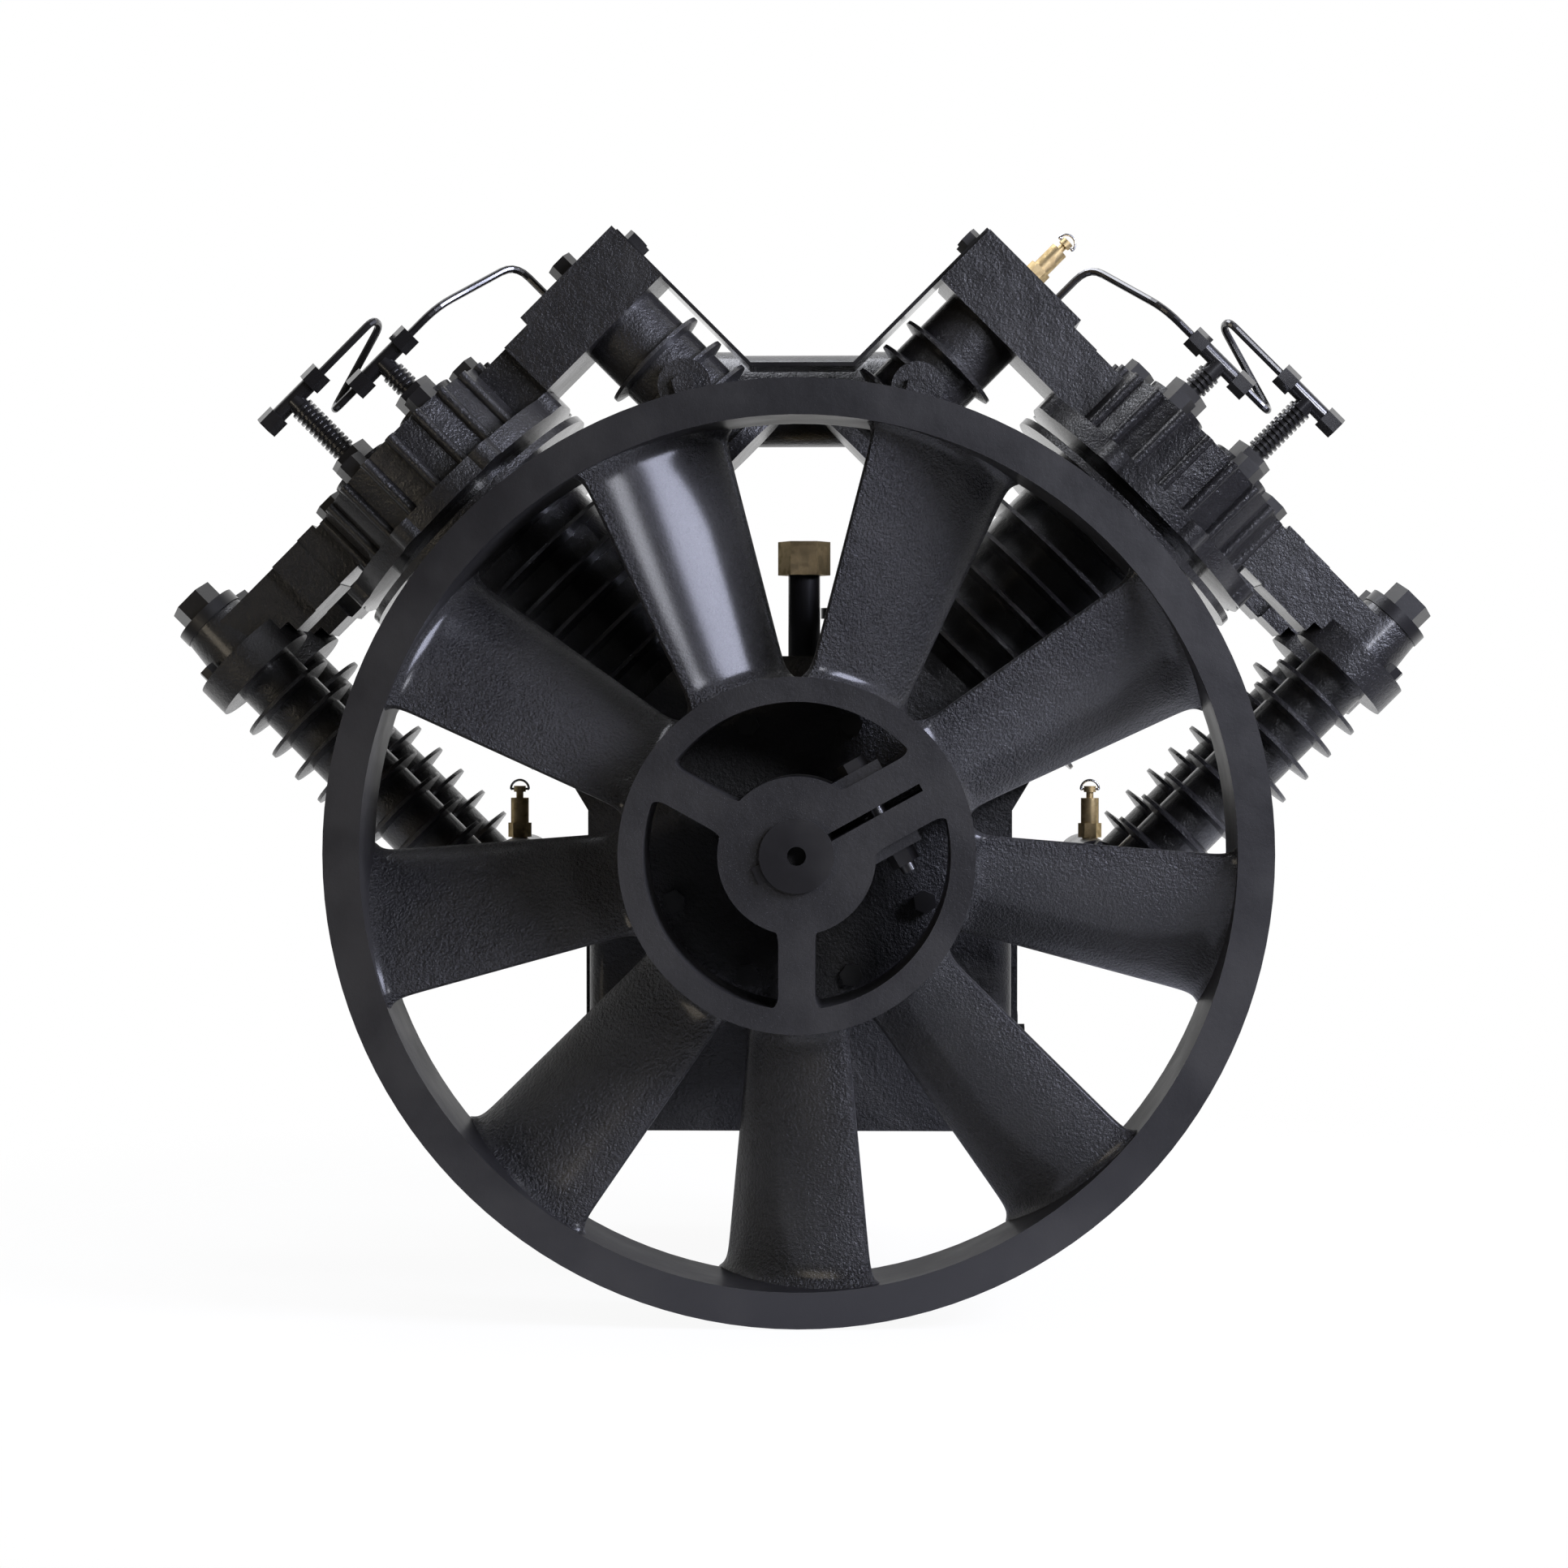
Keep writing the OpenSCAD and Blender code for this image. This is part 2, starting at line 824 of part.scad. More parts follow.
module head_casting(r, n, full_bore_r, pockets, pocket, neck_low, neck_port) {
    drum = r - rib_out;
    bore_r = full_bore_r - rib_out;
    difference() {
        union() {
            ribbed_drum(r, n);
            translate([-neck_v, -neck_half_d, neck_low])
                cube([neck_v - drum * neck_root_share, 2 * neck_half_d, neck_top - neck_low]);
            translate([drum * neck_root_share, -duct_half_d, duct_low])
                cube([duct_v - drum * neck_root_share, 2 * duct_half_d, head_h - duct_low]);
            translate([r, -duct_half_d, duct_low])
                cube([duct_v - r, 2 * duct_half_d, head_h + duct_top - duct_low]);
            for (p = pockets)
                translate([p[0], p[1], head_h - cut])
                    cylinder(r = pocket + pocket_wall, h = pocket_rise + cut);
        }
        translate([0, 0, -cut])
            cylinder(r = bore_r, h = chamber_h + cut);
        for (p = pockets)
            translate([p[0], p[1], 0])
                cylinder(r = pocket, h = head_h + pocket_rise + cut);
        if (neck_port > 0)
            translate([-neck_v - cut, 0, (neck_top + neck_low) / 2])
                rotate([0, 90, 0])
                    cylinder(r = neck_port, h = neck_v - drum * port_root_share);
        head_bolt_holes(full_bore_r, head_h);
        translate([drum * port_root_share, 0, (head_h + duct_top + duct_low) / 2])
            rotate([0, 90, 0])
                cylinder(r = port_r, h = duct_v - drum * port_root_share + cut);
    }
}

pocket_wall = 6;
pocket_rise = 5;
chamber_h = 6;
port_r = 15;

module lp_head(side) {
    color(black)
        on_bank(side)
            translate([0, lp_y, head_u])
                difference() {
                    union() {
                        head_casting(lp_head_r, lp_rib_n, lp_bore_r, LP_POCKETS, pocket_r, 0, 0);
                        translate([0, intake_y, head_h - cut])
                            cylinder(r = intake_boss_r, h = intake_h + cut);
                    }
                    translate([0, intake_y, roof_t])
                        cylinder(r = intake_r, h = head_h + intake_h);
                    translate([0, intake_y, head_h / 2])
                        rotate([0, 0, gallery_angle])
                            rotate([0, 90, 0])
                                cylinder(r = second_port_r, h = gallery_len);
                }
}

module lp_head_left() {
    lp_head(LEFT);
}

module lp_head_right() {
    lp_head(RIGHT);
}

module second_heads() {
    color(black)
        for (side = SIDES)
            on_bank(side)
                translate([0, second_y, head_u])
                    head_casting(
                        second_head_r, second_rib_n, second_bore_r, SECOND_POCKETS, second_pocket_r,
                        second_neck_low, second_port_r
                    );
}

module head_bolts() {
    color(black)
        for (c = CYLINDERS) {
            af = c[2] == lp_bore_r ? head_bolt_af : second_bolt_af;
            on_bank(c[0])
                translate([0, c[1], head_top])
                    ring_of(head_bolt_n, head_bolt_circle(c[2]), head_bolt_start(c[2]))
                        hex_bolt(af, head_bolt_h, head_bolt_r, head_h + gasket_t + head_bolt_grip);
        }
}

// Valves, caps and unloaders
valve_h = 26;
cap_flange_r = pocket_r + pocket_wall;
cap_flange_h = 5;
cap_dome_h = 10;
unload_bore_r = 5;

module each_pocket(side) {
    on_bank(side)
        translate([0, lp_y, head_u])
            for (p = LP_POCKETS)
                translate([p[0], p[1], 0])
                    children();
}

module valve_assemblies() {
    color(steel)
        for (side = SIDES) {
            each_pocket(side)
                translate([0, 0, chamber_h])
                    tube(pocket_r - free_gap, unload_bore_r + free_gap, valve_h);
            on_bank(side)
                translate([0, second_y, head_u + chamber_h])
                    for (p = SECOND_POCKETS)
                        translate([p[0], p[1], 0])
                            cylinder(r = second_pocket_r - free_gap, h = valve_h);
        }
}

module valve_caps() {
    color(black)
        for (side = SIDES) {
            each_pocket(side)
                translate([0, 0, head_h + pocket_rise])
                    tube(cap_flange_r, tower_r, cap_flange_h);
            on_bank(side)
                translate([0, second_y, head_top + pocket_rise])
                    for (p = SECOND_POCKETS)
                        translate([p[0], p[1], 0]) {
                            cylinder(r = second_pocket_r + pocket_wall, h = cap_flange_h);
                            cylinder(r = second_pocket_r, h = cap_dome_h);
                        }
        }
}

// Unloader towers: a hexagon screwed in the valve cap, a ridged adapter and a tee
tower_r = 13;
tower_af = 30;
tower_h = 15;
adapter_r = 8;
ridge_r = 10;
ridge_h = 2;
ridge_pitch = 4.5;
tee_r = 6.5;
tee_half = 17;
nut6_af = 17;
nut6_h = 15;
tee_low_u = 512;
tee_high_u = 541;
tower_u = head_top + pocket_rise + cap_flange_h;
tower_sink = cap_flange_h + pocket_rise;

module unloader_tower(tee_u, cap_end) {
    stem = tee_u - tower_u;
    difference() {
        union() {
            translate([0, 0, -tower_sink])
                cylinder(r = tower_r, h = tower_sink + cut);
            hex_bar(tower_af, tower_h);
            cylinder(r = adapter_r, h = stem);
            for (z = [tower_h + ridge_pitch : ridge_pitch : stem - tee_r - ridge_pitch])
                translate([0, 0, z])
                    cylinder(r = ridge_r, h = ridge_h);
            translate([0, 0, stem])
                rotate([0, 90, 0])
                    translate([0, 0, -tee_half])
                        cylinder(r = tee_r, h = 2 * tee_half);
            for (s = SIDES)
                translate([0, 0, stem])
                    rotate([0, s * 90, 0])
                        translate([0, 0, tee_half])
                            difference() {
                                hex_bar(nut6_af, nut6_h);
                                if (!(cap_end && s > 0))
                                    cylinder(r = tube_r, h = nut6_h + cut);
                            }
        }
        translate([0, 0, -tower_sink - cut])
            cylinder(r = plunger_r + run_gap, h = tower_sink + tower_h);
    }
}

plunger_r = 4;
plunger_len = 30;
plunger_play = 3;
tube_r = 3.2;

module unloader_fittings() {
    color(black)
        for (side = SIDES)
            on_bank(side)
                translate([0, lp_y, tower_u]) {
                    translate([LP_POCKETS[0][0], LP_POCKETS[0][1], 0])
                        unloader_tower(tee_low_u, false);
                    translate([LP_POCKETS[1][0], LP_POCKETS[1][1], 0])
                        unloader_tower(tee_high_u, true);
                }
}

module unloader_plungers(side) {
    color(steel)
        each_pocket(side)
            translate([0, 0, tower_u - head_u + tower_h - cut - plunger_play - plunger_len])
                cylinder(r = plunger_r, h = plunger_len);
}

module unloader_plungers_left() {
    unloader_plungers(LEFT);
}

module unloader_plungers_right() {
    unloader_plungers(RIGHT);
}

// Round tubes swept along routes with rounded corners
tube_sides = 10;
bend_steps = 5;

function unit(a) = a / norm(a);
function bend(a, b, c, r) =
    let (p = b + unit(a - b) * r, q = b + unit(c - b) * r)
    [for (i = [0 : bend_steps]) let (t = i / bend_steps) (1 - t) * (1 - t) * p + 2 * t * (1 - t) * b + t * t * q];
function rounded(route, r) = concat(
    [route[0]],
    [for (i = [1 : len(route) - 2], p = bend(route[i - 1], route[i], route[i + 1], r)) p],
    [route[len(route) - 1]]
);
function path_dir(path, i) = unit(path[min(i + 1, len(path) - 1)] - path[max(i - 1, 0)]);
function side_dir(d, last) = unit(last - d * (last * d));
function frames(path, i, last) =
    i == len(path) ? [] :
    let (d = path_dir(path, i), s = side_dir(d, last))
    concat([[path[i], s, cross(d, s)]], frames(path, i + 1, s));

module swept_tube(route, r, bend_r, start_side) {
    path = rounded(route, bend_r);
    rings = frames(path, 0, start_side);
    points = [
        for (f = rings, k = [0 : tube_sides - 1])
            let (a = 360 * k / tube_sides)
            f[0] + r * (cos(a) * f[1] + sin(a) * f[2])
    ];
    last = (len(rings) - 1) * tube_sides;
    faces = concat(
        [[for (k = [0 : tube_sides - 1]) tube_sides - 1 - k]],
        [
            for (i = [0 : len(rings) - 2], k = [0 : tube_sides - 1])
                let (a = i * tube_sides + k, b = i * tube_sides + (k + 1) % tube_sides)
                [a, b, b + tube_sides, a + tube_sides]
        ],
        [[for (k = [0 : tube_sides - 1]) last + k]]
    );
    polyhedron(points = points, faces = [for (f = faces) [for (i = [len(f) - 1 : -1 : 0]) f[i]]]);
}

// Routes in the bank frame, measured from the low-pressure cylinder axis
arch_bend = 32;
arch_lead = 36;
arch_corner_u = 500;
arch_foot_v = 168;
arch_y = 30;
arch_foot_u = 455;
loop_out = 18;
loop_in = 55;
loop_side = 17;
loop_rise = 4;
loop_bend = 8;
nut_bury = 6;

module unloader_tubes() {
    start_v = -pocket_v - tee_half - nut6_h + nut_bury;
    start_y = LP_POCKETS[0][1];
    arch = [
        [start_v, start_y, tee_low_u],
        [start_v - arch_lead, start_y, tee_low_u],
        [-arch_foot_v, arch_y, arch_corner_u],
        [-arch_foot_v, arch_y, arch_foot_u]
    ];
    run_a = -pocket_v + tee_half + nut6_h - nut_bury;
    run_b = pocket_v - tee_half - nut6_h + nut_bury;
    loop = [
        [run_a, start_y, tee_low_u],
        [loop_out, start_y, tee_low_u],
        [loop_out, start_y + loop_side, tee_low_u + loop_rise],
        [-loop_in, start_y + loop_side, tee_high_u - loop_rise],
        [-loop_in, LP_POCKETS[1][1], tee_high_u],
        [run_b, LP_POCKETS[1][1], tee_high_u]
    ];
    color(black)
        for (side = SIDES)
            on_bank(side)
                translate([0, lp_y, 0]) {
                    swept_tube(arch, tube_r, arch_bend / 2, [0, 1, 0]);
                    swept_tube(loop, tube_r, loop_bend, [0, 1, 0]);
                }
}

// Inboard side: discharge block, aftercooler column, cross pipe and tie strap
block_half_d = 44;
block_top = head_top;
block_bottom = head_u;
arm_w = 34;
arm_u = head_u + (neck_top + second_neck_low) / 2;
after_tube_r = 36;
after_fin_r = 46;
after_low = 255;
after_plate_t = 12;
after_fin_first = 39;
after_fin_n = 4;
after_bore_r = 26;
cross_u = 324;
cross_y = 78;
stub_r = 41;
stub_in_r = 34;
stub_bore_r = 22;
stub_len = 40;
cover_disc_r = 21;
cover_disc_t = 8;
plug_af = 17;
plug_h = 8;
discharge_r = 20;
discharge_boss_r = 32;
discharge_len = 26;
strap_half_d = 25;
strap_t = 3;
strap_flat = 42.4;
strap_hole_r = 6;

module discharge_block(side) {
    color(black)
        on_bank(side)
            translate([0, lp_y, 0])
                difference() {
                    union() {
                        translate([-joint_v, -neck_flange_half_d, head_u])
                            cube([joint_v - neck_v, 2 * neck_flange_half_d, head_h * neck_h_share]);
                        translate([-block_v, -block_half_d, block_bottom])
                            cube([block_v - joint_v, 2 * block_half_d, block_top - block_bottom]);
                        translate([-joint_v - arm_w, 0, head_u + second_neck_low])
                            cube([arm_w, second_y - lp_y + neck_half_d, neck_top - second_neck_low]);
                        translate([-joint_v - arm_w, second_y - lp_y - neck_half_d, head_u + second_neck_low])
                            cube([arm_w + joint_v - neck_v, 2 * neck_half_d, neck_top - second_neck_low]);
                    }
                    translate([-after_v, 0, arm_u])
                        rotate([0, 90, 0])
                            cylinder(r = second_port_r, h = after_v - joint_v - arm_w / 2);
                    translate([-joint_v - arm_w / 2, 0, arm_u])
                        along_y(second_port_r, 0, second_y - lp_y);
                    translate([-joint_v - arm_w / 2, second_y - lp_y, arm_u])
                        rotate([0, 90, 0])
                            cylinder(r = second_port_r, h = joint_v - neck_v + arm_w);
                    translate([-after_v, 0, block_bottom - cut])
                        cylinder(r = after_bore_r, h = second_neck_low + second_port_r + cut);
                    if (side == RIGHT)
                        translate([-after_v, 0, block_top - case_wall])
                            cylinder(r = relief_thread_r, h = case_wall + cut);
                }
}

module discharge_block_left() {
    discharge_block(LEFT);
}

module discharge_block_right() {
    discharge_block(RIGHT);
}

module aftercooler(side) {
    length = block_bottom - after_low;
    color(black)
        on_bank(side)
            translate([-after_v, lp_y, after_low])
                difference() {
                    union() {
                        cylinder(r = after_tube_r, h = length);
                        cylinder(r = after_fin_r, h = after_plate_t);
                        for (i = [0 : after_fin_n - 1])
                            fin(after_tube_r - cut, after_fin_r, length - after_fin_first - i * fin_pitch);
                        translate([0, 0, cross_u - after_low])
                            along_y(stub_in_r, 0, cross_y - side * bank_shift);
                        translate([0, cross_y - side * bank_shift, cross_u - after_low])
                            rotate([0, -bank_angle / 2, 0])
                                translate([-stub_len, 0, 0])
                                    rotate([0, 90, 0])
                                        cylinder(r = stub_r, h = 2 * stub_len);
                        translate([0, 0, cross_u - after_low])
                            along_y(cover_disc_r, -after_fin_r - cover_disc_t, 0);
                        translate([0, -after_fin_r - cover_disc_t, cross_u - after_low])
                            rotate([90, 0, 0])
                                hex_bar(plug_af, plug_h);
                    }
                    translate([0, 0, after_plate_t])
                        cylinder(r = after_bore_r, h = length);
                    translate([0, 0, cross_u - after_low])
                        along_y(stub_bore_r, 0, cross_y - side * bank_shift);
                    translate([0, cross_y - side * bank_shift, cross_u - after_low])
                        rotate([0, -bank_angle / 2, 0]) {
                            translate([-stub_len - cut, 0, 0])
                                rotate([0, 90, 0])
                                    cylinder(r = after_bore_r, h = stub_len + cut);
                            translate([-stub_len - 2 * cross_reach(), 0, 0])
                                rotate([0, 90, 0])
                                    cylinder(r = cross_r + free_gap, h = 2 * cross_reach());
                        }
                }
}

// Height and reach of the pipe between the aftercoolers
function cross_height() = (cross_u + after_v) / ROOT2;
function cross_reach() = (cross_u - after_v) / ROOT2 - stub_len;

module aftercooler_left() {
    aftercooler(LEFT);
}

module aftercooler_right() {
    aftercooler(RIGHT);
}

module cross_pipe() {
    color(black)
        translate([0, lp_y + cross_y, shaft_h + cross_height()])
            difference() {
                union() {
                    rotate([0, 90, 0])
                        translate([0, 0, -cross_reach()])
                            cylinder(r = cross_r, h = 2 * cross_reach());
                    along_y(discharge_boss_r, 0, cross_r + discharge_len);
                }
                rotate([0, 90, 0])
                    translate([0, 0, -cross_reach() - cut])
                        cylinder(r = cross_r - case_wall / 2, h = 2 * cross_reach() + 2 * cut);
                along_y(discharge_r, 0, cross_r + discharge_len + cut);
            }
}

module tie_strap() {
    c = block_v;
    low = strap_flat + c * ROOT2;
    end_x = (block_top - c) / ROOT2;
    end_z = (block_top + c) / ROOT2;
    lift = strap_t * ROOT2;
    skin = strap_t / ROOT2;
    points = [
        [-end_x, end_z],
        [-strap_flat, low],
        [strap_flat, low],
        [end_x, end_z],
        [end_x - skin, end_z + skin],
        [strap_flat - lift + strap_t, low + strap_t],
        [-strap_flat + lift - strap_t, low + strap_t],
        [-end_x + skin, end_z + skin]
    ];
    color(iron)
        translate([0, lp_y + strap_half_d, shaft_h])
            rotate([90, 0, 0])
                linear_extrude(height = 2 * strap_half_d)
                    polygon(points);
}

// Outboard side: duct flanges, cooler caps, finned columns and lower headers
cooler_tube_r = 27;
cooler_bore_r = 19;
cooler_low = 172;
cooler_flange_u = 406;
cooler_flange_t = 14;
cooler_flange_r = 46;
cap_disc_t = 12;
cap_cone_r = 31;
cap_collar_r = 28;
cap_collar_t = 10;
cap_body_top = 466;
cap_plug_af = 34;
cap_plug_h = 17;
cap_bolt_r = 39;
cap_bolt_angle = 45;
cap_bolt_share = 0.8;
front_cooler_y = 12;
back_cooler_y = -18;
header_v = 184;
header_u = 155;
header_r = 22;
foot_block_w = 70;
foot_block_h = 36;

COOLERS = [lp_y + front_cooler_y, second_y + back_cooler_y];
duct_u0 = head_u + duct_low;
duct_u1 = head_top + duct_top;

module duct_box(v0, v1, u0, u1, half) {
    translate([v0, -half, u0])
        cube([v1 - v0, 2 * half, u1 - u0]);
}

module duct_flanges() {
    color(black)
        for (side = SIDES, i = [0, 1])
            on_bank(side)
                translate([0, [lp_y, second_y][i], 0])
                    difference() {
                        duct_box(duct_v, duct_joint_v, duct_u0 - 1, duct_u1 - 1, duct_half_d + 1);
                        translate([duct_v - cut, 0, (duct_u0 + duct_u1) / 2])
                            rotate([0, 90, 0])
                                cylinder(r = port_r, h = duct_joint_v - duct_v + 2 * cut);
                    }
}

module cooler_cap() {
    base = cooler_flange_u + cooler_flange_t;
    difference() {
        union() {
            translate([cooler_v, 0, base])
                cylinder(r = cooler_flange_r, h = cap_disc_t);
            translate([cooler_v, 0, base + cap_disc_t])
                cylinder(r1 = cap_cone_r, r2 = cooler_tube_r, h = cap_body_top - base - cap_disc_t);
            duct_box(duct_joint_v, cooler_v - cooler_flange_r, duct_u0, duct_u1, duct_half_d);
            duct_box(cooler_v - cooler_flange_r, cooler_v, base, duct_u1, duct_half_d);
        }
        translate([cooler_v, 0, base - cut])
            cylinder(r = cooler_bore_r, h = cap_body_top - base - cap_disc_t);
        translate([duct_joint_v - cut, 0, (base + duct_u1) / 2])
            rotate([0, 90, 0])
                cylinder(r = port_r * cap_port_share, h = cooler_v - duct_joint_v);
    }
}

module cooler_caps() {
    color(black)
        for (side = SIDES, y = COOLERS)
            on_bank(side)
                translate([0, y, 0])
                    cooler_cap();
}

module cap_plugs() {
    color(black)
        for (side = SIDES, y = COOLERS)
            on_bank(side)
                translate([cooler_v, y, cap_body_top]) {
                    cylinder(r = cap_collar_r, h = cap_collar_t);
                    translate([0, 0, cap_collar_t])
                        hex_bar(cap_plug_af, cap_plug_h);
                }
}

module cooler_column() {
    length = cooler_flange_u - cooler_low;
    difference() {
        union() {
            cylinder(r = cooler_tube_r, h = length + cooler_flange_t);
            translate([0, 0, length])
                cylinder(r = cooler_flange_r, h = cooler_flange_t);
            for (z = [length - cooler_pitch : -cooler_pitch : cooler_pitch / 2])
                fin(cooler_tube_r - cut, cooler_fin_r, z);
        }
        translate([0, 0, -cut])
            cylinder(r = cooler_bore_r, h = length + cooler_flange_t + 2 * cut);
    }
}

module intercooler(side) {
    color(black)
        on_bank(side)
            for (y = COOLERS)
                translate([cooler_v, y, cooler_low])
                    cooler_column();
}

module intercooler_left() {
    intercooler(LEFT);
}

module intercooler_right() {
    intercooler(RIGHT);
}

module intercooler_headers() {
    color(black)
        for (side = SIDES)
            on_bank(side)
                difference() {
                    union() {
                        for (y = COOLERS)
                            translate([
                                cooler_v + cooler_tube_r - foot_block_w,
                                y - cooler_tube_r,
                                cooler_low - foot_block_h
                            ])
                                cube([foot_block_w, 2 * cooler_tube_r, foot_block_h]);
                        translate([header_v, 0, header_u])
                            along_y(header_r, COOLERS[0], COOLERS[1]);
                    }
                    for (y = COOLERS) {
                        translate([cooler_v, y, header_u - port_r])
                            cylinder(r = cooler_bore_r, h = foot_block_h);
                        translate([cooler_v, y, cooler_low])
                            cylinder(r = cooler_tube_r + free_gap, h = header_r);
                    }
                    translate([header_v, 0, header_u])
                        along_y(port_r, COOLERS[0], COOLERS[1]);
                    translate([header_v, 0, header_u])
                        rotate([0, -bank_angle / 2, 0])
                            translate([0, header_mid - side * bank_shift, 0])
                                cylinder(r = relief_thread_r, h = header_r + cut);
                }
}

header_mid = (COOLERS[0] + COOLERS[1]) / 2;

module manifold_bolts() {
    color(black)
        for (side = SIDES)
            on_bank(side) {
                for (y = COOLERS)
                    translate([cooler_v, y, cooler_flange_u + cooler_flange_t + cap_disc_t])
                        for (sy = SIDES)
                            rotate(sy * cap_bolt_angle)
                                translate([cap_bolt_r, 0, 0])
                                    hex_bar(bolt_af * cap_bolt_share, bolt_h);
                translate([-block_v - strap_t, lp_y - side * bank_shift, 0])
                    for (sy = SIDES)
                        translate([0, sy * strap_half_d / 2, block_top - bolt_af])
                            rotate([0, -90, 0])
                                hex_bar(bolt_af, bolt_h);
                if (side == LEFT)
                    translate([-after_v, lp_y, block_top]) {
                        cylinder(r = bolt_af * lift_boss_share, h = strap_t);
                        hex_bar(bolt_af * lift_plug_share, bolt_h * 2);
                    }
            }
}

// Relief valves: brass body, sprung stem and pull ring
relief_thread_r = 6.5;
relief_af = 17;
relief_hex_h = 12;
relief_body_r = 7.5;
relief_body_h = 21;
relief_stem_r = 3;
relief_stem_up = 10;
relief_head_r = 5;
relief_head_h = 5;
relief_sink = 8;
ring_wire = 1;
ring_in = 7;
relief_bore_depth = 16;

module place_relief(i) {
    if (i == 2)
        on_bank(RIGHT)
            translate([-after_v, lp_y, block_top])
                children();
    else
        translate([
            (i == 0 ? LEFT : RIGHT) * (header_u + header_v) / ROOT2,
            header_mid,
            shaft_h + (header_u - header_v) / ROOT2 + header_r
        ])
            children();
}

module relief_bodies() {
    color(brass)
        for (i = [0 : 2])
            place_relief(i)
                difference() {
                    union() {
                        translate([0, 0, -relief_sink])
                            cylinder(r = relief_thread_r, h = relief_sink + cut);
                        hex_bar(relief_af, relief_hex_h);
                        cylinder(r = relief_body_r, h = relief_hex_h + relief_body_h);
                    }
                    translate([0, 0, relief_hex_h + relief_body_h - relief_bore_depth])
                        cylinder(r = relief_stem_r + run_gap, h = relief_bore_depth + cut);
                }
}

module relief_stem(i) {
    top = relief_hex_h + relief_body_h + relief_stem_up;
    color(steel)
        place_relief(i)
            difference() {
                union() {
                    translate([0, 0, top - relief_stem_up - relief_bore_depth + free_gap])
                        cylinder(r = relief_stem_r, h = relief_stem_up + relief_bore_depth - free_gap);
                    translate([0, 0, top - relief_head_h])
                        cylinder(r = relief_head_r, h = relief_head_h);
                }
                translate([0, 0, top - relief_head_h / 2])
                    rotate([0, 90, 0])
                        translate([0, 0, -relief_head_r - cut])
                            cylinder(r = ring_wire + ring_play, h = 2 * (relief_head_r + cut));
            }
}

ring_play = 0.3;

module relief_ring(i) {
    top = relief_hex_h + relief_body_h + relief_stem_up;
    color(steel)
        place_relief(i)
            translate([0, 0, top - relief_head_h / 2]) {
                rotate([0, 90, 0])
                    translate([0, 0, -ring_in])
                        cylinder(r = ring_wire, h = 2 * ring_in);
                for (s = SIDES)
                    translate([s * ring_in, 0, 0])
                        sphere(r = ring_wire * ring_ball_share);
                difference() {
                    rotate([90, 0, 0])
                        rotate_extrude()
                            translate([ring_in + ring_wire / 2, 0])
                                circle(r = ring_wire, $fn = 24);
                    translate([0, 0, -ring_in * 2])
                        cube(ring_in * 4, center = true);
                }
            }
}

module relief_stem_left() {
    relief_stem(0);
}

module relief_stem_right() {
    relief_stem(1);
}

module relief_stem_top() {
    relief_stem(2);
}

module relief_ring_left() {
    relief_ring(0);
}

module relief_ring_right() {
    relief_ring(1);
}

module relief_ring_top() {
    relief_ring(2);
}

// Flywheel: grooved rim, pitched blades and a spoked, split hub
groove_top_w = 16.5;
groove_bottom_w = 8.5;
groove_depth = 14;
blade_t = 8;
blade_edge = 5;
blade_bow_r = 150;
spoke_w = 27;
clamp_w = 52;
slot_w = 6;
slot_reach = 105;
spoke_depth = 68;
hub_ring_depth = 84;
hub_len = 110;
clamp_angle = 29;
clamp_bolt_at = 68;
clamp_bolt_r = 6;
clamp_af = 19;
clamp_head_h = 8;
clamp_nut_h = 11;
clamp_lug_w = 68;
clamp_lug_in = 9;
SPOKES = [151, 270];
CLAMP_DEPTHS = [22, 50];

module flywheel_rim() {
    margin = (rim_depth - (groove_n - 1) * groove_pitch) / 2;
    grooves = [
        for (i = [0 : groove_n - 1])
            let (y = margin + i * groove_pitch)
            each [
                [fly_r, y - groove_top_w / 2],
                [fly_r - groove_depth, y - groove_bottom_w / 2],
                [fly_r - groove_depth, y + groove_bottom_w / 2],
                [fly_r, y + groove_top_w / 2]
            ]
    ];
    points = concat(
        [[fly_r - rim_t, 0], [fly_r, 0]],
        grooves,
        [[fly_r, rim_depth], [fly_r - rim_t, rim_depth]]
    );
    color(black)
        translate([0, fly_back, shaft_h])
            rotate([90, 0, 0])
                mirror([0, 0, 1])
                    translate([0, 0, -rim_depth])
                        rotate_extrude($fn = 180)
                            polygon(points);
}

// A blade standing straight up, front edge on the left
module blade_blank() {
    inner = hub_ring_r;
    outer = fly_r - rim_t;
    axial = rim_depth - 2 * blade_edge;
    chord = norm([blade_w_out, axial]);
    pitch = atan2(axial, blade_w_out);
    sag = blade_bow_r - sqrt(blade_bow_r * blade_bow_r - chord * chord / 4);
    intersection() {
        translate([0, fly_y + rim_depth / 2, 0])
            rotate([0, 0, pitch])
                linear_extrude(height = outer + cut)
                    translate([0, blade_bow_r - sag / 2 + blade_t / 2])
                        difference() {
                            circle(r = blade_bow_r, $fn = 128);
                            circle(r = blade_bow_r - blade_t, $fn = 128);
                            translate([-2 * blade_bow_r, 0])
                                square(4 * blade_bow_r);
                        }
        translate([0, fly_back, 0])
            rotate([90, 0, 0])
                linear_extrude(height = rim_depth)
                    polygon([
                        [-blade_w_in / 2, inner * blade_root_share],
                        [blade_w_in / 2, inner * blade_root_share],
                        [blade_w_in / 2, inner],
                        [blade_w_out / 2, outer],
                        [blade_w_out / 2, outer + cut],
                        [-blade_w_out / 2, outer + cut],
                        [-blade_w_out / 2, outer],
                        [-blade_w_in / 2, inner]
                    ]);
        difference() {
            along_y(outer, fly_y, fly_back);
            along_y(inner, fly_y - cut, fly_back + cut);
        }
    }
}

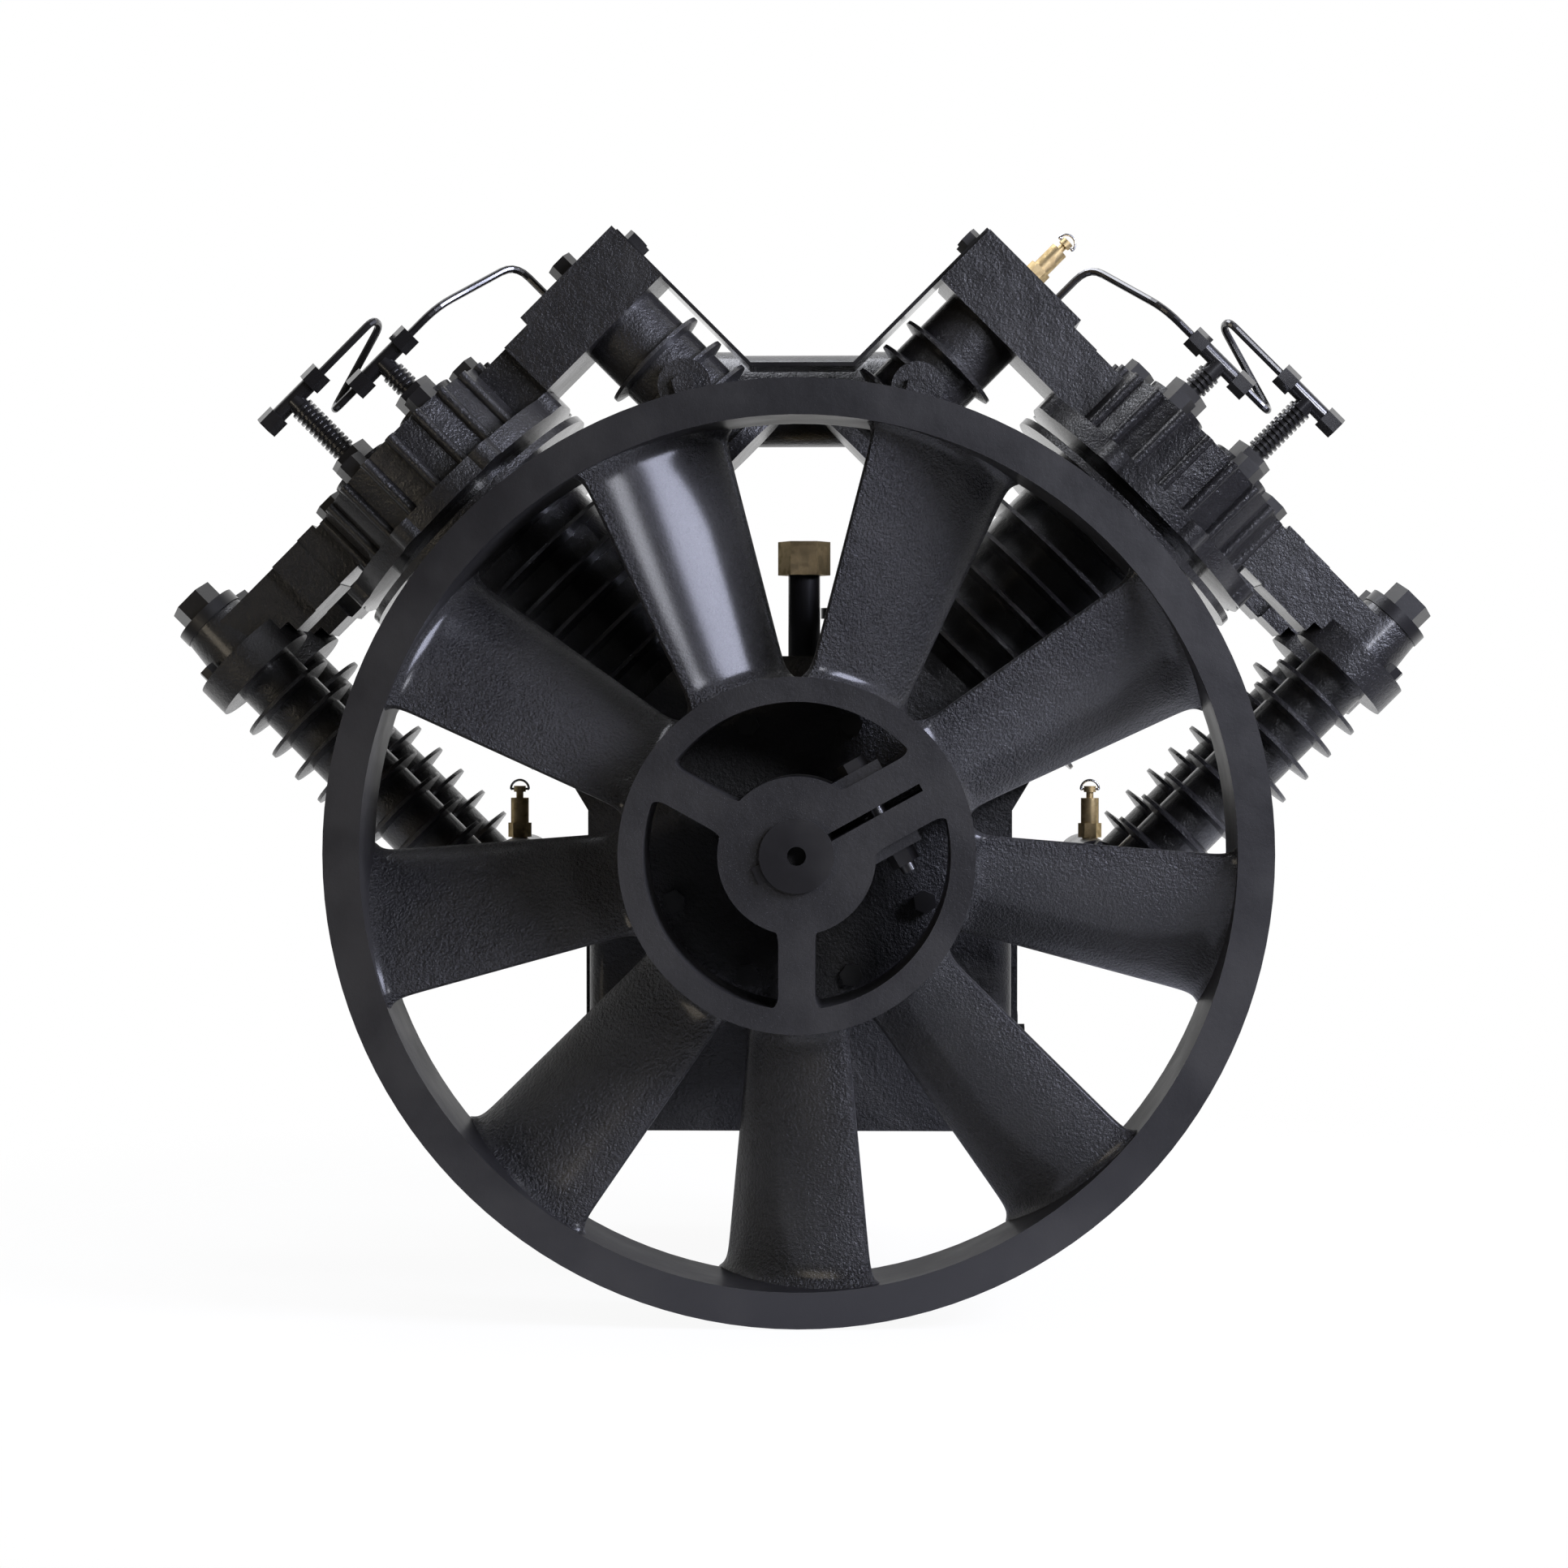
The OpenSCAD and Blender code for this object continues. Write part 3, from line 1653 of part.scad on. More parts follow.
module fan_blades() {
    color(black)
        translate([0, 0, shaft_h])
            for (i = [0 : blade_n - 1])
                rotate([0, 180 - i * 360 / blade_n, 0])
                    blade_blank();
}

// Turns its children about the shaft from +X to an angle seen from the front
module at_angle(a) {
    rotate([0, -a, 0])
        children();
}

// One slice of the hub casting, between two depths behind its front face
module hub_slice(from, to, spokes, lug) {
    ring_in_r = hub_ring_r - hub_ring_t;
    reach = ring_in_r + hub_ring_t / 2;
    translate([0, hub_front + to, 0])
        rotate([90, 0, 0])
            linear_extrude(height = to - from)
                difference() {
                    union() {
                        if (to <= hub_ring_depth)
                            difference() {
                                circle(r = hub_ring_r);
                                circle(r = ring_in_r);
                            }
                        circle(r = hub_boss_r);
                        if (spokes)
                            for (a = SPOKES)
                                rotate([0, 0, a])
                                    translate([0, -spoke_w / 2])
                                        square([reach, spoke_w]);
                        if (spokes)
                            rotate([0, 0, clamp_angle])
                                translate([0, -clamp_w / 2])
                                    square([reach, clamp_w]);
                        if (lug)
                            rotate([0, 0, clamp_angle])
                                translate([0, -clamp_lug_w / 2])
                                    square([clamp_bolt_at + clamp_af, clamp_lug_w]);
                    }
                    circle(r = nose_r);
                    rotate([0, 0, key_angle])
                        translate([0, -key_w / 2 - key_gap])
                            square([nose_r + key_w / 2 + key_gap, key_w + 2 * key_gap]);
                    rotate([0, 0, clamp_angle])
                        translate([0, -slot_w / 2])
                            square([slot_reach, slot_w]);
                }
}

module flywheel_hub() {
    color(black)
        translate([0, 0, shaft_h])
            difference() {
                union() {
                    hub_slice(0, clamp_lug_in, true, false);
                    hub_slice(clamp_lug_in, spoke_depth, true, true);
                    hub_slice(spoke_depth, hub_ring_depth, false, false);
                    hub_slice(hub_ring_depth, hub_len, false, false);
                }
                for (y = CLAMP_DEPTHS)
                    at_angle(clamp_angle)
                        translate([clamp_bolt_at, hub_front + y, -clamp_w])
                            cylinder(r = clamp_bolt_r + free_gap / 2, h = 2 * clamp_w);
            }
}

module hub_clamp_bolts() {
    color(steel)
        translate([0, 0, shaft_h])
            at_angle(clamp_angle)
                for (y = CLAMP_DEPTHS)
                    translate([clamp_bolt_at, hub_front + y, 0]) {
                        translate([0, 0, clamp_lug_w / 2])
                            hex_bar(clamp_af, clamp_head_h);
                        translate([0, 0, -clamp_lug_w / 2 - clamp_nut_h])
                            hex_bar(clamp_af, clamp_nut_h);
                        translate([0, 0, -clamp_lug_w / 2 - clamp_nut_h - clamp_bolt_r])
                            cylinder(r = clamp_bolt_r, h = clamp_lug_w + clamp_nut_h + clamp_bolt_r + cut);
                    }
}

crankcase();
front_bearing_carrier();
rear_bearing_carrier();
side_covers();
case_bolts();
oil_filler_pipe();
filler_cap();
crankcase_breather();
oil_sight_glass();
drain_plug();
bearing_cups();
bearing_cones();
shaft_seal();
crankshaft();
crankpins();
connecting_rods();
pistons();
piston_rings();
wrist_pins();
lp_cylinder_left();
lp_cylinder_right();
second_cylinders();
cylinder_nuts();
lp_head_left();
lp_head_right();
second_heads();
head_gaskets();
head_bolts();
valve_assemblies();
valve_caps();
unloader_fittings();
unloader_tubes();
unloader_plungers_left();
unloader_plungers_right();
discharge_block_left();
discharge_block_right();
aftercooler_left();
aftercooler_right();
cross_pipe();
tie_strap();
manifold_bolts();
duct_flanges();
cooler_caps();
cap_plugs();
intercooler_left();
intercooler_right();
intercooler_headers();
relief_bodies();
relief_stem_left();
relief_stem_right();
relief_stem_top();
relief_ring_left();
relief_ring_right();
relief_ring_top();
flywheel_rim();
fan_blades();
flywheel_hub();
flywheel_key();
hub_clamp_bolts();
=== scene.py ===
import math

import bmesh
import bpy
from mathutils import Euler, Matrix, Vector


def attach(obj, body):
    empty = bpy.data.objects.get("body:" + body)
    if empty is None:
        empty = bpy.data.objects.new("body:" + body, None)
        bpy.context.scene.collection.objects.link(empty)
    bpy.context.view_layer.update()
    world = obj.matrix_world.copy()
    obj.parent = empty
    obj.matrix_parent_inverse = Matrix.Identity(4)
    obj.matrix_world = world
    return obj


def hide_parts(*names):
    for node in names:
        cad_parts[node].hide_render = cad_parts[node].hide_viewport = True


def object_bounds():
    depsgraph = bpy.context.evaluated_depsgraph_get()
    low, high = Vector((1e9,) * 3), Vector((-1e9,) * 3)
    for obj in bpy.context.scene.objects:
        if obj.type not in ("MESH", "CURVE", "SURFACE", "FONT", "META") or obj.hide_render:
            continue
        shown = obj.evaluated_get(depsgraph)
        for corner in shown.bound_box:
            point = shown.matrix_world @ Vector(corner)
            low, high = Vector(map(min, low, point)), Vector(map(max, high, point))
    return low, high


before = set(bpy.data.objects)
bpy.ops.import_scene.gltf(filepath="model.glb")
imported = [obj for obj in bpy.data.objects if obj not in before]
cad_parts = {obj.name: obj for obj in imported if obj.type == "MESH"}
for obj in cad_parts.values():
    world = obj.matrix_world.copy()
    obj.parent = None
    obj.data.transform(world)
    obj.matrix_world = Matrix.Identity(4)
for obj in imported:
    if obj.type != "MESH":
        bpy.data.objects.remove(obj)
cad_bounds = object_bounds()
scene = bpy.context.scene


# Camera: the pump is seen square on from its flywheel end, a little above the crankshaft.
# A long lens 2.5 m away keeps the banks nearly parallel, and the view turns slightly left and down.
lens_px = 4132
picture_px = 1932
sensor_mm = 36
camera_place = (0.0469, -2.814, 0.3247)
tilt_down = 1.19
turn_left = 1.3
camera_data = bpy.data.cameras.new("front_view")
camera_data.sensor_width = sensor_mm
camera_data.lens = lens_px / picture_px * camera_data.sensor_width
camera = bpy.data.objects.new("front_view", camera_data)
camera.location = camera_place
camera.rotation_euler = Euler((math.radians(90 - tilt_down), 0, math.radians(turn_left)))
scene.collection.objects.link(camera)
scene.camera = camera


# Studio: a white sweep behind and below, bright at the back and dim in front,
# so black enamel shows pale rims on its edges and stays black on the faces towards the camera.
scene.view_settings.view_transform = "Standard"
white = (1, 1, 1, 1)
sweep_turn = (-0.15, 0.55)
front_level = 0.03
aim_height = 0.3

world = bpy.data.worlds.new("studio")
world.use_nodes = True
scene.world = world
tree = world.node_tree
tree.nodes.clear()
where = tree.nodes.new("ShaderNodeTexCoord")
axes = tree.nodes.new("ShaderNodeSeparateXYZ")
tree.links.new(where.outputs["Generated"], axes.inputs[0])
back_to_front = tree.nodes.new("ShaderNodeMapRange")
back_to_front.interpolation_type = "SMOOTHSTEP"
back_to_front.inputs["From Min"].default_value = sweep_turn[0]
back_to_front.inputs["From Max"].default_value = sweep_turn[1]
back_to_front.inputs["To Min"].default_value = front_level
back_to_front.inputs["To Max"].default_value = 1
tree.links.new(axes.outputs["Y"], back_to_front.inputs["Value"])
rays = tree.nodes.new("ShaderNodeLightPath")
seen = tree.nodes.new("ShaderNodeMath")
seen.operation = "MAXIMUM"
tree.links.new(rays.outputs["Is Camera Ray"], seen.inputs[0])
tree.links.new(rays.outputs["Is Transmission Ray"], seen.inputs[1])
level = tree.nodes.new("ShaderNodeMix")
tree.links.new(seen.outputs[0], level.inputs["Factor"])
tree.links.new(back_to_front.outputs["Result"], level.inputs["A"])
level.inputs["B"].default_value = 1
sweep = tree.nodes.new("ShaderNodeBackground")
sweep.inputs["Color"].default_value = white
tree.links.new(level.outputs["Result"], sweep.inputs["Strength"])
tree.links.new(sweep.outputs[0], tree.nodes.new("ShaderNodeOutputWorld").inputs["Surface"])


def softbox(name, place, size, power, colour):
    data = bpy.data.lights.new(name, "AREA")
    data.shape = "RECTANGLE"
    data.size = size[0]
    data.size_y = size[1]
    data.energy = power
    data.color = colour
    lamp = bpy.data.objects.new(name, data)
    lamp.location = place
    facing = Vector((0, 0, aim_height)) - Vector(place)
    lamp.rotation_euler = facing.to_track_quat("-Z", "Y").to_euler()
    scene.collection.objects.link(lamp)


softbox("cool_key", (1.77, -1.15, 1.23), (1.0, 0.8), 95, (0.76, 0.79, 1.0))
softbox("front_fill", (1.25, -2.45, 1.15), (0.45, 0.45), 20, (0.88, 0.9, 1.0))
softbox("cool_top", (-0.4, 0.1, 2.4), (1.4, 0.8), 34, (0.9, 0.92, 1.0))
softbox("warm_left", (-1.9, -1.8, 0.35), (0.8, 0.8), 9, (1.0, 0.88, 0.7))

# the wheel hangs below the mounting face, so the floor is under the wheel
floor_gap = 0.0005
floor_radius = 2.0
floor_middle = -0.05
floor_fade = (0.55, 1.2)
floor_grey = (0.9, 0.9, 0.9, 1)
floor_lift = 0.93
floor_z = cad_bounds[0][2] - floor_gap
floor_mesh = bpy.data.meshes.new("floor")
floor_shape = bmesh.new()
bmesh.ops.create_circle(floor_shape, cap_ends=True, segments=96, radius=floor_radius)
bmesh.ops.translate(floor_shape, verts=floor_shape.verts, vec=(0, floor_middle, floor_z))
floor_shape.to_mesh(floor_mesh)
floor_shape.free()
floor = bpy.data.objects.new("floor", floor_mesh)
scene.collection.objects.link(floor)

floor_paint = bpy.data.materials.new("pale_floor")
floor_paint.use_nodes = True
tree = floor_paint.node_tree
tree.nodes.clear()
place = tree.nodes.new("ShaderNodeTexCoord")
reach = tree.nodes.new("ShaderNodeVectorMath")
reach.operation = "LENGTH"
tree.links.new(place.outputs["Object"], reach.inputs[0])
fade = tree.nodes.new("ShaderNodeMapRange")
fade.interpolation_type = "SMOOTHSTEP"
fade.inputs["From Min"].default_value = floor_fade[0]
fade.inputs["From Max"].default_value = floor_fade[1]
tree.links.new(reach.outputs["Value"], fade.inputs["Value"])
matt = tree.nodes.new("ShaderNodeBsdfDiffuse")
matt.inputs["Color"].default_value = floor_grey
glow = tree.nodes.new("ShaderNodeEmission")
glow.inputs["Color"].default_value = white
rays = tree.nodes.new("ShaderNodeLightPath")
lift = tree.nodes.new("ShaderNodeMath")
lift.operation = "MULTIPLY"
lift.inputs[1].default_value = floor_lift
tree.links.new(rays.outputs["Is Camera Ray"], lift.inputs[0])
paint = tree.nodes.new("ShaderNodeMixShader")
tree.links.new(lift.outputs[0], paint.inputs["Fac"])
tree.links.new(matt.outputs[0], paint.inputs[1])
tree.links.new(glow.outputs[0], paint.inputs[2])
clear = tree.nodes.new("ShaderNodeBsdfTransparent")
edge = tree.nodes.new("ShaderNodeMixShader")
tree.links.new(fade.outputs["Result"], edge.inputs["Fac"])
tree.links.new(paint.outputs[0], edge.inputs[1])
tree.links.new(clear.outputs[0], edge.inputs[2])
tree.links.new(edge.outputs[0], tree.nodes.new("ShaderNodeOutputMaterial").inputs["Surface"])
floor_mesh.materials.append(floor_paint)


# Crankcase and its bearing carriers: sand-cast iron, the mould's grain still in the skin,
# sprayed with gloss black enamel after machining, so that the paint pools in the low places.
def new_group(name, inputs, outputs):
    group = bpy.data.node_groups.new(name, "ShaderNodeTree")
    for label, value in inputs:
        socket = group.interface.new_socket(label, in_out="INPUT", socket_type="NodeSocketFloat")
        socket.default_value = value
    for label, kind in outputs:
        group.interface.new_socket(label, in_out="OUTPUT", socket_type=kind)
    start = group.nodes.new("NodeGroupInput")
    end = group.nodes.new("NodeGroupOutput")
    return group, start, end


def noise(tree, vector, scale, detail, roughness=0.5):
    node = tree.nodes.new("ShaderNodeTexNoise")
    node.inputs["Scale"].default_value = scale
    node.inputs["Detail"].default_value = detail
    node.inputs["Roughness"].default_value = roughness
    tree.links.new(vector, node.inputs["Vector"])
    return node


def sums(tree, operation, first, second):
    node = tree.nodes.new("ShaderNodeMath")
    node.operation = operation
    for socket, value in zip(node.inputs, (first, second)):
        if isinstance(value, (int, float)):
            socket.default_value = value
        else:
            tree.links.new(value, socket)
    return node.outputs[0]


def ramp(tree, value, low, high, to_low=0.0, to_high=1.0):
    node = tree.nodes.new("ShaderNodeMapRange")
    node.interpolation_type = "SMOOTHSTEP"
    node.inputs["From Min"].default_value = low
    node.inputs["From Max"].default_value = high
    node.inputs["To Min"].default_value = to_low
    node.inputs["To Max"].default_value = to_high
    tree.links.new(value, node.inputs["Value"])
    return node.outputs["Result"]


sand_skin, start, end = new_group(
    "sand_cast_skin",
    [("Grain Depth", 1.0), ("Lump Depth", 1.0)],
    [("Height", "NodeSocketFloat"), ("Tone", "NodeSocketFloat"), ("Pits", "NodeSocketFloat")],
)
spot = sand_skin.nodes.new("ShaderNodeTexCoord").outputs["Object"]
grain = noise(sand_skin, spot, 420, 3, 0.6)
lumps = noise(sand_skin, spot, 60, 2)
pores = noise(sand_skin, spot, 900, 1)
pitting = ramp(sand_skin, pores.outputs["Fac"], 0.62, 0.74)
grain_part = sums(sand_skin, "MULTIPLY", grain.outputs["Fac"], start.outputs["Grain Depth"])
lump_part = sums(sand_skin, "MULTIPLY", lumps.outputs["Fac"], start.outputs["Lump Depth"])
pit_part = sums(sand_skin, "MULTIPLY", pitting, start.outputs["Grain Depth"])
skin = sums(sand_skin, "ADD", grain_part, lump_part)
skin = sums(sand_skin, "SUBTRACT", skin, sums(sand_skin, "MULTIPLY", pit_part, 0.35))
sand_skin.links.new(skin, end.inputs["Height"])
sand_skin.links.new(noise(sand_skin, spot, 14, 3).outputs["Fac"], end.inputs["Tone"])
sand_skin.links.new(pitting, end.inputs["Pits"])

enamel_black = (0.0088, 0.0082, 0.0086, 1)
enamel_dusty = (0.0165, 0.0155, 0.0145, 1)
dust_tone = (0.4, 0.75)
gloss_tone = (0.3, 0.7)
gloss_spread = 0.14
coat_roughness = 0.18


def black_enamel(name, grain_depth, lump_depth, gloss, coat=0.5, bump=0.00045):
    """Gloss black enamel; gloss is the lowest roughness that its skin reaches."""
    paint = bpy.data.materials.new(name)
    paint.use_nodes = True
    tree = paint.node_tree
    shader = tree.nodes["Principled BSDF"]
    skin = tree.nodes.new("ShaderNodeGroup")
    skin.node_tree = sand_skin
    skin.inputs["Grain Depth"].default_value = grain_depth
    skin.inputs["Lump Depth"].default_value = lump_depth
    colour = tree.nodes.new("ShaderNodeMix")
    colour.data_type = "RGBA"
    colour.inputs["A"].default_value = enamel_black
    colour.inputs["B"].default_value = enamel_dusty
    tree.links.new(ramp(tree, skin.outputs["Tone"], *dust_tone), colour.inputs["Factor"])
    tree.links.new(colour.outputs["Result"], shader.inputs["Base Color"])
    dulled = ramp(tree, skin.outputs["Tone"], *gloss_tone, gloss, gloss + gloss_spread)
    tree.links.new(dulled, shader.inputs["Roughness"])
    shader.inputs["Coat Weight"].default_value = coat
    shader.inputs["Coat Roughness"].default_value = coat_roughness
    rise = tree.nodes.new("ShaderNodeBump")
    rise.inputs["Strength"].default_value = 1
    rise.inputs["Distance"].default_value = bump
    tree.links.new(skin.outputs["Height"], rise.inputs["Height"])
    tree.links.new(rise.outputs["Normal"], shader.inputs["Normal"])
    return paint


def dress(material, *names):
    for name in names:
        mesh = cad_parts[name].data
        mesh.materials.clear()
        mesh.materials.append(material)


case_paint = black_enamel("enamel_on_case", 1.3, 1.2, 0.42, coat=0.25, bump=0.0011)
dress(case_paint, "crankcase", "front_bearing_carrier", "rear_bearing_carrier", "side_covers")


# Case bolts, plugs and the oil filler riser: steel hardware painted over with the casting,
# so their machined faces are smooth under the same black.
bolt_paint = black_enamel("enamel_on_bolts", 0.12, 0.3, 0.34, coat=0.5)
dress(
    bolt_paint,
    "case_bolts",
    "oil_filler_pipe",
    "crankcase_breather",
    "drain_plug",
    "cylinder_nuts",
    "head_bolts",
    "manifold_bolts",
    "cap_plugs",
    "hub_clamp_bolts",
)


# Filler cap and relief valves: brass bar, turned or milled and left bare,
# its flats dulled in patches where it has been handled.
tarnish, start, end = new_group(
    "tarnish_and_turning",
    [("Turning Depth", 1.0)],
    [("Tarnish", "NodeSocketFloat"), ("Height", "NodeSocketFloat")],
)
spot = tarnish.nodes.new("ShaderNodeTexCoord").outputs["Object"]
patches = noise(tarnish, spot, 130, 4)
tarnish.links.new(ramp(tarnish, patches.outputs["Fac"], 0.4, 0.7), end.inputs["Tarnish"])
fine = noise(tarnish, spot, 1600, 2)
tarnish.links.new(
    sums(tarnish, "MULTIPLY", fine.outputs["Fac"], start.outputs["Turning Depth"]), end.inputs["Height"]
)


tarnish_dulling = 0.2


def bare_metal(name, bright, dull, shine, bump=0.00004):
    metal = bpy.data.materials.new(name)
    metal.use_nodes = True
    tree = metal.node_tree
    shader = tree.nodes["Principled BSDF"]
    shader.inputs["Metallic"].default_value = 1
    marks = tree.nodes.new("ShaderNodeGroup")
    marks.node_tree = tarnish
    colour = tree.nodes.new("ShaderNodeMix")
    colour.data_type = "RGBA"
    colour.inputs["A"].default_value = bright
    colour.inputs["B"].default_value = dull
    tree.links.new(marks.outputs["Tarnish"], colour.inputs["Factor"])
    tree.links.new(colour.outputs["Result"], shader.inputs["Base Color"])
    dulled = ramp(tree, marks.outputs["Tarnish"], 0, 1, shine, shine + tarnish_dulling)
    tree.links.new(dulled, shader.inputs["Roughness"])
    rise = tree.nodes.new("ShaderNodeBump")
    rise.inputs["Distance"].default_value = bump
    tree.links.new(marks.outputs["Height"], rise.inputs["Height"])
    tree.links.new(rise.outputs["Normal"], shader.inputs["Normal"])
    return metal


brass = bare_metal("bare_brass", (0.74, 0.57, 0.30, 1), (0.48, 0.36, 0.18, 1), 0.42)
dress(brass, "filler_cap", "relief_bodies", "relief_stem_left", "relief_stem_right", "relief_stem_top")


# Running gear inside the case: ground steel shaft and pins, bare iron rods and rings,
# alloy pistons. It shows only at the shaft's nose and when the case is open.
ground_steel = bare_metal("ground_steel", (0.52, 0.52, 0.53, 1), (0.36, 0.36, 0.37, 1), 0.24)
dress(
    ground_steel,
    "bearing_cups",
    "bearing_cones",
    "crankpins",
    "wrist_pins",
    "valve_assemblies",
    "unloader_plungers_left",
    "unloader_plungers_right",
    "relief_ring_left",
    "relief_ring_right",
    "relief_ring_top",
)
dark_iron = bare_metal("oiled_iron", (0.22, 0.22, 0.22, 1), (0.12, 0.12, 0.12, 1), 0.42, bump=0.0002)
dress(dark_iron, "connecting_rods", "piston_rings")
piston_alloy = bare_metal("piston_alloy", (0.72, 0.72, 0.71, 1), (0.6, 0.6, 0.6, 1), 0.36)
dress(piston_alloy, "pistons")


# Crankshaft nose and key: ground steel, but the shaft's end was painted with the wheel on it,
# so both are black here too, smoother than the casting around them.
nose_paint = black_enamel("enamel_on_shaft", 0.1, 0.4, 0.34, coat=0.3)
dress(nose_paint, "crankshaft", "flywheel_key")


# Seal, gaskets and sight glass: moulded rubber, compressed sheet and a clear window.
def plain_sheet(name, light, dark, roughness, scale):
    sheet = bpy.data.materials.new(name)
    sheet.use_nodes = True
    tree = sheet.node_tree
    shader = tree.nodes["Principled BSDF"]
    spot = tree.nodes.new("ShaderNodeTexCoord").outputs["Object"]
    fleck = noise(tree, spot, scale, 3)
    colour = tree.nodes.new("ShaderNodeMix")
    colour.data_type = "RGBA"
    colour.inputs["A"].default_value = light
    colour.inputs["B"].default_value = dark
    tree.links.new(fleck.outputs["Fac"], colour.inputs["Factor"])
    tree.links.new(colour.outputs["Result"], shader.inputs["Base Color"])
    shader.inputs["Roughness"].default_value = roughness
    return sheet


rubber = plain_sheet("seal_rubber", (0.03, 0.03, 0.03, 1), (0.015, 0.015, 0.015, 1), 0.6, 400)
dress(rubber, "shaft_seal")
gasket = plain_sheet("gasket_sheet", (0.05, 0.048, 0.045, 1), (0.02, 0.02, 0.02, 1), 0.7, 700)
dress(gasket, "head_gaskets")
glass = plain_sheet("sight_glass", (0.62, 0.60, 0.52, 1), (0.5, 0.47, 0.38, 1), 0.05, 90)
glass.node_tree.nodes["Principled BSDF"].inputs["Transmission Weight"].default_value = 0.8
dress(glass, "oil_sight_glass")


# Cylinders and their heads: iron castings with fins and ribs,
# coarse from the mould under a thick, glossy coat of enamel.
fin_paint = black_enamel("enamel_on_fins", 1.0, 1.4, 0.26, coat=0.7, bump=0.0007)
dress(
    fin_paint,
    "lp_cylinder_left",
    "lp_cylinder_right",
    "second_cylinders",
    "lp_head_left",
    "lp_head_right",
    "second_heads",
    "valve_caps",
)


# Discharge blocks and coolers: square iron manifolds above finned drums,
# sand-cast like the cylinders, with a slightly duller paint.
block_paint = black_enamel("enamel_on_blocks", 1.0, 1.6, 0.33, coat=0.4, bump=0.0008)
dress(
    block_paint,
    "discharge_block_left",
    "discharge_block_right",
    "aftercooler_left",
    "aftercooler_right",
    "cross_pipe",
    "intercooler_left",
    "intercooler_right",
    "intercooler_headers",
    "cooler_caps",
    "duct_flanges",
)


# Unloader lines and their fittings, and the flat strap that ties the two blocks:
# drawn tube, bar-stock fittings and sheet, all smooth under the paint.
tube_paint = black_enamel("enamel_on_tube", 0.06, 0.2, 0.2, coat=0.8)
dress(tube_paint, "unloader_fittings", "unloader_tubes", "tie_strap")


# Flywheel rim and hub: one iron casting with the blades. The rim is turned smooth inside its grooves,
# the front faces are skimmed, and the hub is split on one side, where two bolts clamp it to the shaft.
def piece(name, shape, body, material, smooth=math.radians(40)):
    mesh = bpy.data.meshes.new(name)
    bmesh.ops.recalc_face_normals(shape, faces=shape.faces)
    shape.to_mesh(mesh)
    shape.free()
    mesh.materials.append(material)
    thing = bpy.data.objects.new(name, mesh)
    scene.collection.objects.link(thing)
    mesh.shade_smooth()
    mesh.set_sharp_from_angle(angle=smooth)
    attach(thing, body)
    return thing


rim_paint = black_enamel("enamel_on_rim", 0.16, 0.7, 0.42, coat=0.08)
hub_paint = black_enamel("enamel_on_hub", 0.5, 1.0, 0.44, coat=0.08)
dress(rim_paint, "flywheel_rim")

shaft_height = 0.22
hub_front = -0.339
ring_outer = 0.1325
ring_inner = 0.114
boss_radius = 0.0587
bore_radius = 0.0278
ring_depth = 0.084
web_depth = 0.068
boss_depth = 0.110
# each web's angle seen from the front, and its half width
webs = ((29, 0.026), (151, 0.0135), (270, 0.0135))
pocket_fillet = 0.011
overrun = 0.01
through_depth = 0.13
seam = 0.001
pocket_skin = 0.0002
lug_reach = (0.040, 0.087)
lug_half_width = 0.034
lug_sunk = 0.009
lug_depth = web_depth - 0.0095
slot_reach = (0.0, 0.105)
slot_half_width = 0.003
key_angle = 206
key_reach = (0.0, 0.0342)
key_half_width = 0.00637


def stand(shape, verts, front, turn=0.0):
    """Stands a shape drawn flat on the wheel's front face, at a depth, turned about the shaft."""
    upright = Matrix.Rotation(math.pi / 2, 4, "X") @ Matrix.Rotation(math.radians(turn), 4, "Z")
    bmesh.ops.transform(
        shape, verts=verts, matrix=Matrix.Translation((0, front, shaft_height)) @ upright
    )


def new_verts(shape, before):
    shape.verts.ensure_lookup_table()
    return shape.verts[before:]


def drum(shape, radius, front, depth, segments=128):
    before = len(shape.verts)
    bmesh.ops.create_cone(
        shape, cap_ends=True, segments=segments, radius1=radius, radius2=radius, depth=depth
    )
    bmesh.ops.translate(shape, verts=new_verts(shape, before), vec=(0, 0, -depth / 2))
    stand(shape, new_verts(shape, before), front)


def bar(shape, angle, reach, half_width, front, depth):
    before = len(shape.verts)
    bmesh.ops.create_cube(shape, size=1)
    size = Matrix.Diagonal((reach[1] - reach[0], 2 * half_width, depth, 1))
    move = Matrix.Translation(((reach[0] + reach[1]) / 2, 0, -depth / 2))
    bmesh.ops.transform(shape, verts=new_verts(shape, before), matrix=move @ size)
    stand(shape, new_verts(shape, before), front, angle)


